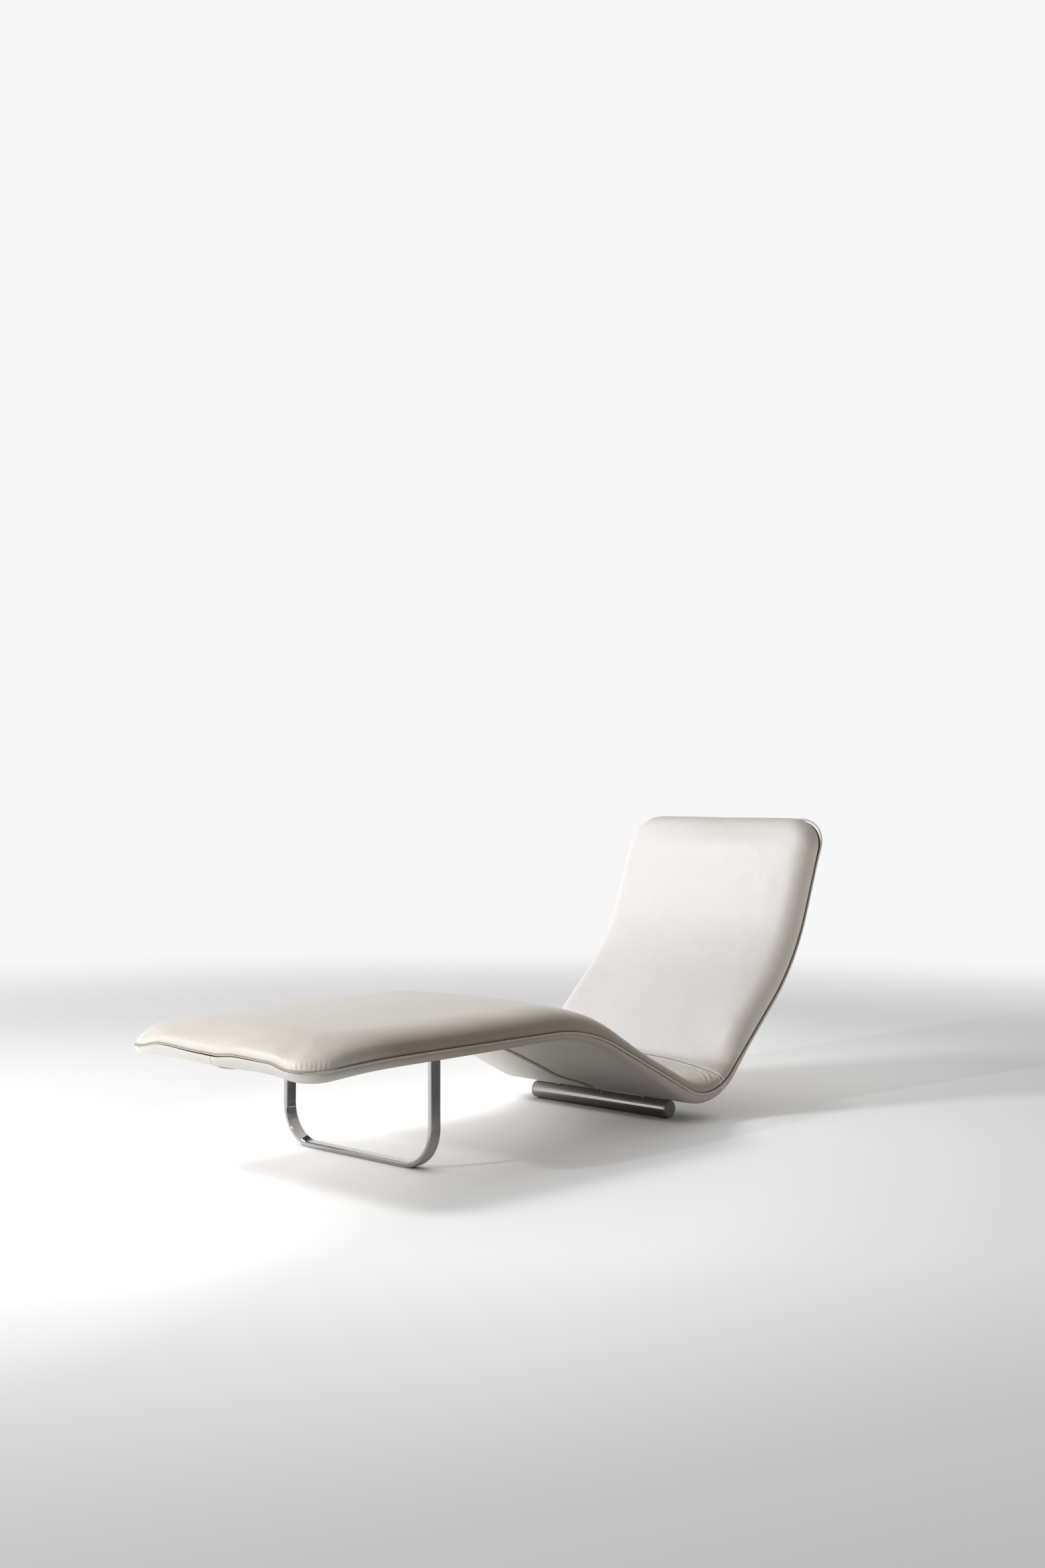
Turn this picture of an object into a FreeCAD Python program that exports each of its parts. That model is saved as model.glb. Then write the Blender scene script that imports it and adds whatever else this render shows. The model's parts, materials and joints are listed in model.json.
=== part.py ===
"""Chaise longue: a padded leather body bent to a zigzag, on a bar leg and a floor cylinder.

Frame: X across the width, Y along the length with the head at +Y, Z up, millimetres.
The body follows one side profile, the seam line between its upper and lower covers. Each padded
piece is lofted through sections set square to that line, at x across it and n above it.
"""
import FreeCAD, Part
import math
import os
from collections import namedtuple

import Sketcher
from FreeCAD import Placement, Rotation, Vector

SIZES = {
    # Side profile along the seam, corner to corner
    "leg_length": 815.0,
    "thigh_length": 520.0,
    "lower_back_length": 476.0,
    "upper_back_length": 392.0,
    "thigh_slope": 26.5,
    "lower_back_slope": 42.5,
    "upper_back_slope": 69.0,
    "knee_radius": 490.0,
    "seat_radius": 156.0,
    "shoulder_radius": 570.0,
    "seat_setback": 29.7,
    # Plan and edges of the padded body
    "body_width": 624.0,
    "corner_radius": 66.0,
    "end_roll": 52.0,
    "foam_end_inset": 8.0,
    "side_roll": 45.0,
    "lower_end_roll": 24.0,
    "lower_side_roll": 24.0,
    # Height of the upper padding over the seam at its side roll, and the crown over that
    "roll_leg": 45.0,
    "roll_knee": 48.0,
    "roll_thigh": 31.0,
    "roll_seat": 31.0,
    "roll_back": 54.0,
    "roll_head": 50.0,
    "crown_rise": 12.0,
    # Depth of the lower cover under the seam at its side roll and on the middle line
    "edge_leg": 22.0,
    "edge_knee": 18.5,
    "edge_seat": 24.0,
    "edge_back": 19.0,
    "keel_leg": 33.0,
    "keel_knee": 50.0,
    "keel_thigh": 44.0,
    "keel_seat": 26.0,
    "keel_back": 29.0,
    # Covers, piping and the distance of the cross seam past the middle of the seat bend
    "leather_thickness": 2.0,
    "welt_diameter": 5.4,
    "welt_bulge": 2.2,
    "band_width": 15.0,
    "band_thickness": 1.8,
    "cross_seam_shift": 48.0,
    # Frame inside the body
    "rail_inset": 44.0,
    "rail_diameter": 20.0,
    "rail_wall": 2.0,
    "rail_drop": 4.0,
    "rail_end_inset": 74.0,
    "cross_tube_diameter": 20.0,
    "cross_tube_inset": 26.0,
    "leg_tube_spacing": 72.0,
    "strap_width": 50.0,
    "strap_thickness": 2.0,
    "strap_pitch": 86.0,
    "strap_overhang": 8.0,
    "pad_side_gap": 8.0,
    # Bar leg
    "bar_width": 30.0,
    "bar_thickness": 12.0,
    "bar_edge": 1.5,
    "u_leg_width": 486.0,
    "u_leg_bend": 84.0,
    "u_leg_distance": 820.0,
    "leg_plate_length": 100.0,
    "leg_plate_width": 44.0,
    "leg_plate_thickness": 6.0,
    "leg_screw_diameter": 6.0,
    "leg_screw_head": 10.0,
    "leg_screw_head_height": 3.4,
    "leg_screw_length": 28.0,
    "leg_screw_spacing": 16.0,
    # Floor cylinder
    "cylinder_diameter": 42.4,
    "cylinder_wall": 3.0,
    "cylinder_length": 443.0,
    "cap_thickness": 4.0,
    "cap_spigot": 12.0,
    "cap_edge": 0.8,
    "floor_strip_width": 16.0,
    "floor_strip_inset": 10.0,
    "floor_strip_side": 3.4,
    "floor_strip_thickness": 1.5,
    "cylinder_bolt_spacing": 280.0,
    "cylinder_bolt_diameter": 10.0,
    "cylinder_bolt_head": 17.0,
    "cylinder_bolt_head_height": 6.4,
    "spacer_diameter": 22.0,
    "slug_length": 44.0,
    "seat_plate_width": 60.0,
    "seat_plate_thickness": 5.0,
    # Clearances
    "fit_gap": 0.3,
    "soft_gap": 0.5,
    "strap_gap": 0.6,
    "hole_gap": 0.4,
    "section_sag": 0.25,
}

Station = namedtuple("Station", "y z angle")
Segment = namedtuple("Segment", "start length y z angle curvature")
Crown = namedtuple("Crown", "half_width roll height rise slope")

doc = FreeCAD.newDocument("chaise_longue")
sheet = doc.addObject("Spreadsheet::Sheet", "sizes")
for row, (alias, value) in enumerate(SIZES.items(), start=1):
    sheet.set("A%d" % row, alias)
    sheet.set("B%d" % row, str(value))
    sheet.setAlias("B%d" % row, alias)
doc.recompute()


def size(alias):
    return float(sheet.get(alias))


# Values that several pieces share
half_width = size("body_width") / 2
leather = size("leather_thickness")
fit_gap = size("fit_gap")
soft_gap = size("soft_gap")
seam_half = size("welt_diameter") / 2 + fit_gap + size("section_sag")
rail_x = half_width - size("rail_inset")
rail_radius = size("rail_diameter") / 2
rail_n = -size("rail_drop")
cross_radius = size("cross_tube_diameter") / 2
cylinder_radius = size("cylinder_diameter") / 2
cylinder_z = size("floor_strip_thickness") + fit_gap + cylinder_radius
seat_reach = size("seat_radius") + size("keel_seat") + fit_gap + cylinder_radius
seat_tilt = math.degrees(math.asin(size("seat_setback") / seat_reach))
strap_base = rail_n + rail_radius + size("strap_gap")
foam_base = strap_base + size("strap_thickness") + soft_gap + fit_gap
cross_under = rail_n - cross_radius
plate_top = cross_under - fit_gap
pad_top = cross_under - soft_gap


# Side profile
def side_profile():
    """Lines and arcs of the seam from the foot to the head, resting the seat on the cylinder."""
    slopes = [0.0, -size("thigh_slope"), size("lower_back_slope"), size("upper_back_slope")]
    radii = [size("knee_radius"), size("seat_radius"), size("shoulder_radius")]
    names = ("leg_length", "thigh_length", "lower_back_length", "upper_back_length")
    lengths = [size(name) for name in names]
    turns = [math.radians(after - before) for before, after in zip(slopes, slopes[1:])]
    tangents = [0.0] + [radius * abs(math.tan(turn / 2)) for radius, turn in zip(radii, turns)] + [0.0]
    segments = []
    start, y, z, angle = 0.0, 0.0, 0.0, 0.0
    for index, length in enumerate(lengths):
        pieces = [(length - tangents[index] - tangents[index + 1], 0.0)]
        if index < len(turns):
            curvature = math.copysign(1 / radii[index], turns[index])
            pieces.append((radii[index] * abs(turns[index]), curvature))
        for run, curvature in pieces:
            segments.append(Segment(start, run, y, z, angle, curvature))
            here = along(segments[-1], run)
            start, y, z, angle = start + run, here.y, here.z, here.angle
    bend = segments[3]
    centre_y = bend.y - size("seat_radius") * math.sin(bend.angle)
    centre_z = bend.z + size("seat_radius") * math.cos(bend.angle)
    shift_y = size("seat_setback") - centre_y
    shift_z = cylinder_z + math.sqrt(seat_reach ** 2 - size("seat_setback") ** 2) - centre_z
    return [seg._replace(y=seg.y + shift_y, z=seg.z + shift_z) for seg in segments]


def along(segment, distance):
    """Point and direction at a distance along one line or arc."""
    if segment.curvature == 0:
        return Station(segment.y + distance * math.cos(segment.angle),
                       segment.z + distance * math.sin(segment.angle), segment.angle)
    angle = segment.angle + distance * segment.curvature
    return Station(segment.y + (math.sin(angle) - math.sin(segment.angle)) / segment.curvature,
                   segment.z - (math.cos(angle) - math.cos(segment.angle)) / segment.curvature, angle)


profile = side_profile()
leg_run, knee_bend, thigh_run, seat_bend, loin_run, shoulder_bend, head_run = profile
total_length = head_run.start + head_run.length


def middle(segment):
    return segment.start + segment.length / 2


def end(segment):
    return segment.start + segment.length


def station(s):
    """Point and direction of the seam at the distance s from the foot."""
    for segment in profile:
        if s <= end(segment) or segment is profile[-1]:
            return along(segment, s - segment.start)


def spot(x, n, here):
    """Point at x across the body and n above the seam."""
    return Vector(x, here.y - n * math.sin(here.angle), here.z + n * math.cos(here.angle))


def blend(s, marks):
    """Smooth value at s between marked values along the seam."""
    for (s0, v0), (s1, v1) in zip(marks, marks[1:]):
        if s <= s1:
            t = min(max((s - s0) / (s1 - s0), 0.0), 1.0)
            return v0 + (v1 - v0) * t * t * (3 - 2 * t)
    return marks[-1][1]


roll_marks = [
    (middle(leg_run), size("roll_leg")), (middle(knee_bend), size("roll_knee")),
    (middle(thigh_run), size("roll_thigh")), (seat_bend.start, size("roll_seat")),
    (end(seat_bend), size("roll_seat")), (middle(loin_run), size("roll_back")),
    (middle(head_run), size("roll_back")), (total_length, size("roll_head"))]
edge_marks = [
    (middle(leg_run), size("edge_leg")), (middle(knee_bend), size("edge_knee")),
    (seat_bend.start, size("edge_seat")), (end(seat_bend), size("edge_seat")),
    (middle(loin_run), size("edge_back"))]
keel_marks = [
    (middle(leg_run), size("keel_leg")), (middle(knee_bend), size("keel_knee")),
    (middle(thigh_run), size("keel_thigh")), (seat_bend.start, size("keel_seat")),
    (end(seat_bend), size("keel_seat")), (middle(loin_run), size("keel_back"))]


# Sections of the padded body
def round_end(distance, radius):
    """How far a quarter-round end has opened, 0 to 1, at a distance from its tip."""
    least = 0.2
    if distance >= radius:
        return 1.0
    return max(least, math.sqrt(max(0.0, 1 - (1 - distance / radius) ** 2)))


def plan_half(s):
    """Half width of the body at s, with its rounded corners."""
    radius = size("corner_radius")
    inside = min(max(min(s, total_length - s), 0.0), radius)
    return half_width - radius + math.sqrt(radius ** 2 - (radius - inside) ** 2)


def upper(s):
    """Crowned upper section at s: side roll, height there, rise to the crown and slope at the roll."""
    opened = round_end(min(s, total_length - s), size("end_roll"))
    half, roll = plan_half(s), size("side_roll") * opened
    height, rise = blend(s, roll_marks) * opened, size("crown_rise") * opened
    return Crown(half, roll, height, rise, 2 * math.atan(rise / (half - roll)))


def lower(s):
    """Section of the underside at s, measured downwards, with straight flanks to the middle line."""
    opened = round_end(min(s, total_length - s), size("lower_end_roll"))
    half, roll = plan_half(s), size("lower_side_roll") * opened
    depth = blend(s, edge_marks) * opened
    rise = blend(s, keel_marks) * opened - depth
    return Crown(half, roll, depth, rise, math.atan(rise / (half - roll)))


def side_arc(crown, inset, base):
    """Three points of the rolled side, from the base level to where the roll ends."""
    sine, cosine = math.sin(crown.slope), math.cos(crown.slope)
    radius = (crown.roll ** 2 + crown.height ** 2) / (2 * (crown.height * cosine - crown.roll * sine))
    centre_x = crown.half_width - crown.roll - radius * sine
    centre_n = crown.height - radius * cosine
    radius -= inset
    first = math.asin((base - centre_n) / radius)
    last = math.pi / 2 - crown.slope
    return [(centre_x + radius * math.cos(a), centre_n + radius * math.sin(a))
            for a in (first, (first + last) / 2, last)]


def edges_through(here, corners, sign=1):
    """Closed wire through lines (2 points) and arcs (3 points) given in x and n."""
    edges = []
    for corner in corners:
        points = [spot(x, sign * n, here) for x, n in corner]
        if len(points) == 2:
            edges.append(Part.makeLine(*points))
        else:
            edges.append(Part.Arc(*points).toShape())
    return Part.Wire(edges)


def mirror(points):
    return [(-x, n) for x, n in reversed(points)]


def upper_wire(s, inset, base):
    """Section of the upper padding, inset from the cover's outer face, standing on the base level."""
    crown = upper(s)
    side = side_arc(crown, inset, base)
    top = (0.0, crown.height + crown.rise - inset)
    corners = [mirror(side)[-1:] + side[:1], side, [side[-1], top, mirror(side)[0]], mirror(side)]
    return edges_through(station(s), corners)


def half_lower_wire(s, inset, base, past_middle):
    """Right half of the underside, inset from its outer face, hung from the base level."""
    crown = lower(s)
    side = side_arc(crown, inset, base)
    tilt = math.tan(crown.slope)
    keel = (-past_middle, crown.height + crown.rise - inset / math.cos(crown.slope) + past_middle * tilt)
    corners = [[(-past_middle, base), side[0]], side, [side[-1], keel], [keel, (-past_middle, base)]]
    return edges_through(station(s), corners, -1)


def pad_wire(s):
    """Section of the padding between the frame and the lower covers."""
    crown = lower(s)
    reach = rail_x - rail_radius - size("pad_side_gap")
    inset = (leather + soft_gap) / math.cos(crown.slope)
    keel = crown.height + crown.rise - inset
    flank = keel - reach * math.tan(crown.slope)
    level = -pad_top
    points = [(-reach, level), (reach, level), (reach, flank), (0.0, keel), (-reach, flank)]
    return edges_through(station(s), list(map(list, zip(points, points[1:] + points[:1]))), -1)


def band_wire(s):
    """Section of the lapped band on the middle line of the underside."""
    crown = lower(s)
    reach = size("band_width") / 2
    inner = crown.height + crown.rise + fit_gap
    outer = inner + size("band_thickness")
    drop = reach * math.tan(crown.slope)
    points = [(-reach, inner - drop), (0.0, inner), (reach, inner - drop),
              (reach, outer - drop), (0.0, outer), (-reach, outer - drop)]
    return edges_through(station(s), list(map(list, zip(points, points[1:] + points[:1]))), -1)


cross_seam = middle(seat_bend) + size("cross_seam_shift")
cylinder_s = seat_bend.start + size("seat_radius") * math.radians(size("thigh_slope") - seat_tilt)
band_stops = [cylinder_s - size("cylinder_diameter"), cylinder_s + size("cylinder_diameter")]


def section_places():
    """Places along the seam where sections are set: rolled ends, straights and small steps of each bend."""
    end_shares = (0.09, 0.2, 0.58)
    longest_run = 160.0
    least_apart = 1.5
    insets = [0.0, leather, size("foam_end_inset"), size("end_roll"), size("corner_radius")]
    places = [cross_seam, middle(knee_bend), middle(seat_bend), end(seat_bend), middle(shoulder_bend)]
    places += band_stops
    for inset in insets:
        places += [inset, total_length - inset]
    extra = []
    for share in end_shares:
        inset = share * size("corner_radius")
        extra += [inset, total_length - inset]
    for segment in profile:
        steps = math.ceil(segment.length / longest_run)
        if segment.curvature:
            radius = 1 / abs(segment.curvature)
            steps = math.ceil(segment.length / (2 * math.sqrt(2 * radius * size("section_sag"))))
        extra += [segment.start + segment.length * step / steps for step in range(steps + 1)]
    for place in extra:
        if all(abs(place - other) > least_apart for other in places):
            places.append(place)
    return sorted(places)


sections = section_places()


def loft(make_wire, first, last):
    """Ruled solid through the sections between two of the shared places."""
    between = [s for s in sections if first < s < last]
    return Part.makeLoft([make_wire(s) for s in [first] + between + [last]], True, True)


# Document objects
pieces = []


def add_shape(label, shape):
    piece = doc.addObject("Part::Feature", label)
    piece.Label = label
    piece.Shape = shape
    pieces.append(piece)
    return piece


def add_body(label):
    body = doc.addObject("PartDesign::Body", label)
    body.Label = label
    pieces.append(body)
    return body


def add_sketch(body, name, plane):
    sketch = body.newObject("Sketcher::SketchObject", name)
    support = [item for item in body.Origin.OriginFeatures if item.Role == plane][0]
    sketch.AttachmentSupport = [(support, "")]
    sketch.MapMode = "FlatFace"
    return sketch


def dimension(sketch, kind, *arguments, formula, value):
    index = sketch.addConstraint(Sketcher.Constraint(kind, *arguments, value))
    sketch.setExpression("Constraints[%d]" % index, formula)


def add_circle(sketch, formula, value, x=0.0, y=0.0, x_formula=None):
    """Circle of a given diameter, on the sketch's X axis."""
    circle = sketch.addGeometry(Part.Circle(Vector(x, y, 0), Vector(0, 0, 1), value / 2))
    if x_formula is None:
        sketch.addConstraint(Sketcher.Constraint("Coincident", circle, 3, -1, 1))
    else:
        sketch.addConstraint(Sketcher.Constraint("PointOnObject", circle, 3, -1))
        dimension(sketch, "DistanceX", -1, 1, circle, 3, formula=x_formula, value=x)
    dimension(sketch, "Diameter", circle, formula=formula, value=value)
    return circle


def add_rectangle(sketch, width_formula, width, depth_formula, depth, x=0.0, x_formula=None):
    """Rectangle centred on the sketch's X axis, on the origin or at a distance along that axis."""
    signs = ((-1, -1), (1, -1), (1, 1), (-1, 1))
    corners = [Vector(x + sx * width / 2, sy * depth / 2, 0) for sx, sy in signs]
    first = sketch.addGeometry(Part.LineSegment(corners[0], corners[1]))
    for start, finish in ((1, 2), (2, 3), (3, 0)):
        sketch.addGeometry(Part.LineSegment(corners[start], corners[finish]))
    for side in range(4):
        following = first + (side + 1) % 4
        sketch.addConstraint(Sketcher.Constraint("Coincident", first + side, 2, following, 1))
    sketch.addConstraint(Sketcher.Constraint("Vertical", first + 1))
    sketch.addConstraint(Sketcher.Constraint("Horizontal", first + 2))
    dimension(sketch, "DistanceX", first, 1, first, 2, formula=width_formula, value=width)
    dimension(sketch, "DistanceY", first + 1, 1, first + 1, 2, formula=depth_formula, value=depth)
    sketch.addConstraint(Sketcher.Constraint("Symmetric", first, 1, first + 2, 2, -1))
    if x_formula is None:
        sketch.addConstraint(Sketcher.Constraint("Symmetric", first, 1, first, 2, -2))
    else:
        sketch.addConstraint(Sketcher.Constraint("Horizontal", first))
        dimension(sketch, "DistanceX", -1, 1, first + 1, 1, formula=x_formula, value=x + width / 2)


def add_pad(body, sketch, formula, both_ways=False):
    pad = body.newObject("PartDesign::Pad", sketch.Name + "_pad")
    pad.Profile = sketch
    pad.setExpression("Length", formula)
    pad.Midplane = both_ways
    return pad


# Upper covers and their padding
def upper_cover(label, first, last):
    """Leather shell over the padding, open at the seam and along the cross seam."""
    outer = loft(lambda s: upper_wire(s, 0.0, seam_half), first, last)
    inner_first = leather if first == 0.0 else first - leather
    inner_last = total_length - leather if last == total_length else last + leather
    inner = loft(lambda s: upper_wire(s, leather, seam_half - leather), inner_first, inner_last)
    add_shape(label, outer.cut(inner))


upper_cover("top_cover_leg", 0.0, cross_seam)
upper_cover("top_cover_back", cross_seam, total_length)

foam_end = size("foam_end_inset")
foam_cuts = [foam_end, middle(knee_bend), middle(seat_bend), middle(shoulder_bend), total_length - foam_end]
for name, first, last in zip(("leg", "seat", "back", "head"), foam_cuts, foam_cuts[1:]):
    foam = loft(lambda s: upper_wire(s, leather + soft_gap, foam_base), first, last)
    add_shape("foam_" + name, foam)


# Frame: rails, cross tubes and straps
def rail_path(x, n, first, last):
    """Wire at x across and n above the seam, made of the profile's own lines and arcs."""
    edges = []
    for segment in profile:
        start, finish = max(first, segment.start), min(last, end(segment))
        if finish <= start:
            continue
        points = [spot(x, n, station(s)) for s in (start, (start + finish) / 2, finish)]
        if segment.curvature == 0:
            edges.append(Part.makeLine(points[0], points[2]))
        else:
            edges.append(Part.Arc(*points).toShape())
    return Part.Wire(edges)


def swept_round(path, radius):
    first = path.Edges[0]
    start = first.firstVertex().Point
    ring = Part.makeCircle(radius, start, first.tangentAt(first.FirstParameter))
    return path.makePipeShell([Part.Wire([ring])], True, False)


rail_first = size("rail_end_inset")
rail_last = total_length - size("rail_end_inset")
rail_bodies = {}
for name, sign in (("left", -1), ("right", 1)):
    path = rail_path(sign * rail_x, rail_n, rail_first, rail_last)
    rail_bodies[name] = swept_round(path, rail_radius)
    add_shape("rail_" + name, rail_bodies[name].cut(swept_round(path, rail_radius - size("rail_wall"))))

# The leg stands at a set distance from the cylinder, measured along the flat leg rest
leg_s = -size("u_leg_distance") - station(0.0).y
cross_places = {
    "foot": rail_first + size("cross_tube_inset"),
    "leg_front": leg_s - size("leg_tube_spacing") / 2,
    "leg_rear": leg_s + size("leg_tube_spacing") / 2,
    "knee": middle(knee_bend),
    "loin": middle(loin_run),
    "shoulder": middle(shoulder_bend),
    "head": rail_last - size("cross_tube_inset"),
}
rail_room = [swept_round(rail_path(sign * rail_x, rail_n, rail_first, rail_last), rail_radius + fit_gap)
             for sign in (-1, 1)]
for name, s in cross_places.items():
    start = spot(-rail_x, rail_n, station(s))
    tube = Part.makeCylinder(cross_radius, 2 * rail_x, start, Vector(1, 0, 0))
    bore = Part.makeCylinder(cross_radius - size("rail_wall"), 2 * rail_x, start, Vector(1, 0, 0))
    tube = tube.cut(Part.makeCompound(rail_room))
    tube = max(tube.Solids, key=lambda solid: solid.Volume)
    add_shape("cross_tube_" + name, tube.cut(bore))


def local_box(s, x_half, n_low, n_high, along_half, x_middle=0.0):
    """Box set square to the seam at s."""
    here = station(s)
    box = Part.makeBox(2 * x_half, 2 * along_half, n_high - n_low)
    box.Placement = Placement(Vector(x_middle - x_half, -along_half, n_low), Rotation())
    turn = Placement(Vector(0, here.y, here.z), Rotation(Vector(1, 0, 0), math.degrees(here.angle)))
    box.Placement = turn.multiply(box.Placement)
    return box


def strap_places(first, last):
    """Evenly spaced straps on one stretch of the rails."""
    count = max(1, int((last - first) / size("strap_pitch")))
    pitch = (last - first) / count
    return [first + pitch * (i + 0.5) for i in range(count)]


strap_stretches = [(rail_first, end(leg_run)), (thigh_run.start, end(thigh_run)),
                   (loin_run.start, end(loin_run)), (head_run.start, rail_last)]
strap_half = rail_x + size("strap_overhang")
straps = [local_box(s, strap_half, strap_base, strap_base + size("strap_thickness"), size("strap_width") / 2)
          for first, last in strap_stretches for s in strap_places(first, last)]
add_shape("webbing_straps", Part.makeCompound(straps))

# Bar leg: a flat bar swept along a U, its top ends on the body's own base plane
leg_here = station(leg_s)
bar_top = leg_here.z + plate_top - size("leg_plate_thickness") - fit_gap
leg_x = (size("u_leg_width") - size("bar_thickness")) / 2
u_leg = add_body("u_leg")
u_path = add_sketch(u_leg, "leg_path", "XZ_Plane")
bend = size("u_leg_bend")
depth = bar_top - size("bar_thickness") / 2
turns = [(Vector(leg_x - bend, bend - depth, 0), -math.pi / 2, 0.0),
         (Vector(bend - leg_x, bend - depth, 0), math.pi, 1.5 * math.pi)]
u_path.addGeometry(Part.LineSegment(Vector(leg_x, 0, 0), Vector(leg_x, bend - depth, 0)))
for centre, first, last in turns:
    u_path.addGeometry(Part.ArcOfCircle(Part.Circle(centre, Vector(0, 0, 1), bend), first, last))
u_path.addGeometry(Part.LineSegment(Vector(leg_x - bend, -depth, 0), Vector(bend - leg_x, -depth, 0)))
u_path.addGeometry(Part.LineSegment(Vector(-leg_x, bend - depth, 0), Vector(-leg_x, 0, 0)))
right_side, right_bend, left_bend, base_run, left_side = range(5)
for one, one_end, other, other_end in ((right_side, 2, right_bend, 2), (right_bend, 1, base_run, 1),
                                       (base_run, 2, left_bend, 2), (left_bend, 1, left_side, 1)):
    u_path.addConstraint(Sketcher.Constraint("Tangent", one, one_end, other, other_end))
u_path.addConstraint(Sketcher.Constraint("Vertical", right_side))
u_path.addConstraint(Sketcher.Constraint("Horizontal", base_run))
u_path.addConstraint(Sketcher.Constraint("Equal", right_bend, left_bend))
u_path.addConstraint(Sketcher.Constraint("PointOnObject", right_side, 1, -1))
u_path.addConstraint(Sketcher.Constraint("Symmetric", right_side, 1, left_side, 2, -2))
dimension(u_path, "DistanceX", left_side, 2, right_side, 1,
          formula="sizes.u_leg_width - sizes.bar_thickness", value=2 * leg_x)
dimension(u_path, "Radius", right_bend, formula="sizes.u_leg_bend", value=bend)
u_path.addConstraint(Sketcher.Constraint("DistanceY", base_run, 1, -1, 1, depth))
bar_section = add_sketch(u_leg, "bar_section", "XY_Plane")
add_rectangle(bar_section, "sizes.bar_thickness", size("bar_thickness"), "sizes.bar_width", size("bar_width"),
              leg_x, "sizes.u_leg_width / 2")
doc.recompute()
bar = u_leg.newObject("PartDesign::AdditivePipe", "bent_bar")
bar.Profile = bar_section
bar.Spine = (u_path, [])
doc.recompute()
long_edges = []
for index, edge in enumerate(bar.Shape.Edges, start=1):
    heights = [vertex.Point.z for vertex in edge.Vertexes]
    across = abs(edge.Vertexes[0].Point.y - edge.Vertexes[-1].Point.y)
    if min(heights) < -fit_gap and across < fit_gap:
        long_edges.append("Edge%d" % index)
eased = u_leg.newObject("PartDesign::Fillet", "eased_edges")
eased.Base = (bar, long_edges)
eased.setExpression("Radius", "sizes.bar_edge")
doc.recompute()
screw_holes = add_sketch(u_leg, "screw_holes", "XY_Plane")
for x_sign, x_formula in ((1, "(sizes.u_leg_width - sizes.bar_thickness) / 2"),
                          (-1, "-(sizes.u_leg_width - sizes.bar_thickness) / 2")):
    for y_sign in (-1, 1):
        y = y_sign * size("leg_screw_spacing") / 2
        hole = screw_holes.addGeometry(
            Part.Circle(Vector(x_sign * leg_x, y, 0), Vector(0, 0, 1), size("leg_screw_diameter") / 2))
        dimension(screw_holes, "DistanceX", -1, 1, hole, 3, formula=x_formula, value=x_sign * leg_x)
        dimension(screw_holes, "DistanceY", -1, 1, hole, 3,
                  formula="%d * sizes.leg_screw_spacing / 2" % y_sign, value=y)
        dimension(screw_holes, "Diameter", hole, formula="sizes.leg_screw_diameter + sizes.hole_gap",
                  value=size("leg_screw_diameter") + size("hole_gap"))
tapped = u_leg.newObject("PartDesign::Pocket", "tapped_holes")
tapped.Profile = screw_holes
tapped.setExpression("Length", "sizes.leg_screw_length")
doc.recompute()
u_leg.Placement = Placement(Vector(0, leg_here.y, bar_top), Rotation())

# Plates and screws that hold the leg to its two cross tubes
plate_z = leg_here.z + plate_top


def add_hole_pair(sketch, formula, value):
    """Two circles on the sketch's Y axis, one screw spacing apart."""
    for sign in (-1, 1):
        y = sign * size("leg_screw_spacing") / 2
        hole = sketch.addGeometry(Part.Circle(Vector(0, y, 0), Vector(0, 0, 1), value / 2))
        sketch.addConstraint(Sketcher.Constraint("PointOnObject", hole, 3, -2))
        dimension(sketch, "DistanceY", -1, 1, hole, 3, value=y,
                  formula="%d * sizes.leg_screw_spacing / 2" % sign)
        dimension(sketch, "Diameter", hole, formula=formula, value=value)


def leg_plate(name, x):
    """Plate with two counterbored holes, its top face on the body's own base plane."""
    plate = add_body("leg_plate_" + name)
    outline = add_sketch(plate, "plate_outline_" + name, "XY_Plane")
    add_rectangle(outline, "sizes.leg_plate_width", size("leg_plate_width"),
                  "sizes.leg_plate_length", size("leg_plate_length"))
    add_pad(plate, outline, "sizes.leg_plate_thickness").Reversed = True
    doc.recompute()
    for purpose, alias, depth_formula in (("shank", "leg_screw_diameter", "sizes.leg_plate_thickness"),
                                          ("head", "leg_screw_head", "sizes.leg_screw_head_height")):
        holes = add_sketch(plate, "%s_holes_%s" % (purpose, name), "XY_Plane")
        add_hole_pair(holes, "sizes.%s + sizes.hole_gap" % alias, size(alias) + size("hole_gap"))
        cut = plate.newObject("PartDesign::Pocket", "%s_cut_%s" % (purpose, name))
        cut.Profile = holes
        cut.setExpression("Length", depth_formula)
        doc.recompute()
    plate.Placement = Placement(Vector(x, leg_here.y, plate_z), Rotation())


def leg_screw(x, y):
    """Cap screw with its head sunk in the plate and its shank in the end of the bar."""
    head_under = plate_z - size("leg_screw_head_height") + fit_gap / 2
    down = Vector(0, 0, -1)
    head = Part.makeCylinder(size("leg_screw_head") / 2, size("leg_screw_head_height") - fit_gap,
                             Vector(x, y, head_under))
    reach = size("leg_screw_length")
    shank = Part.makeCylinder(size("leg_screw_diameter") / 2, reach, Vector(x, y, head_under), down)
    return head.fuse(shank).removeSplitter()


screws = []
for name, sign in (("left", -1), ("right", 1)):
    leg_plate(name, sign * leg_x)
    for side in (-1, 1):
        screws.append(leg_screw(sign * leg_x, leg_here.y + side * size("leg_screw_spacing") / 2))
add_shape("leg_screws", Part.makeCompound(screws))

# Floor cylinder, lying along X, its bolts leaning towards the middle of the seat bend
cylinder_place = Placement(Vector(0, 0, cylinder_z), Rotation(Vector(1, 0, 0), -seat_tilt))
bolt_x = size("cylinder_bolt_spacing") / 2
bore_radius = cylinder_radius - size("cylinder_wall")

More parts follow.
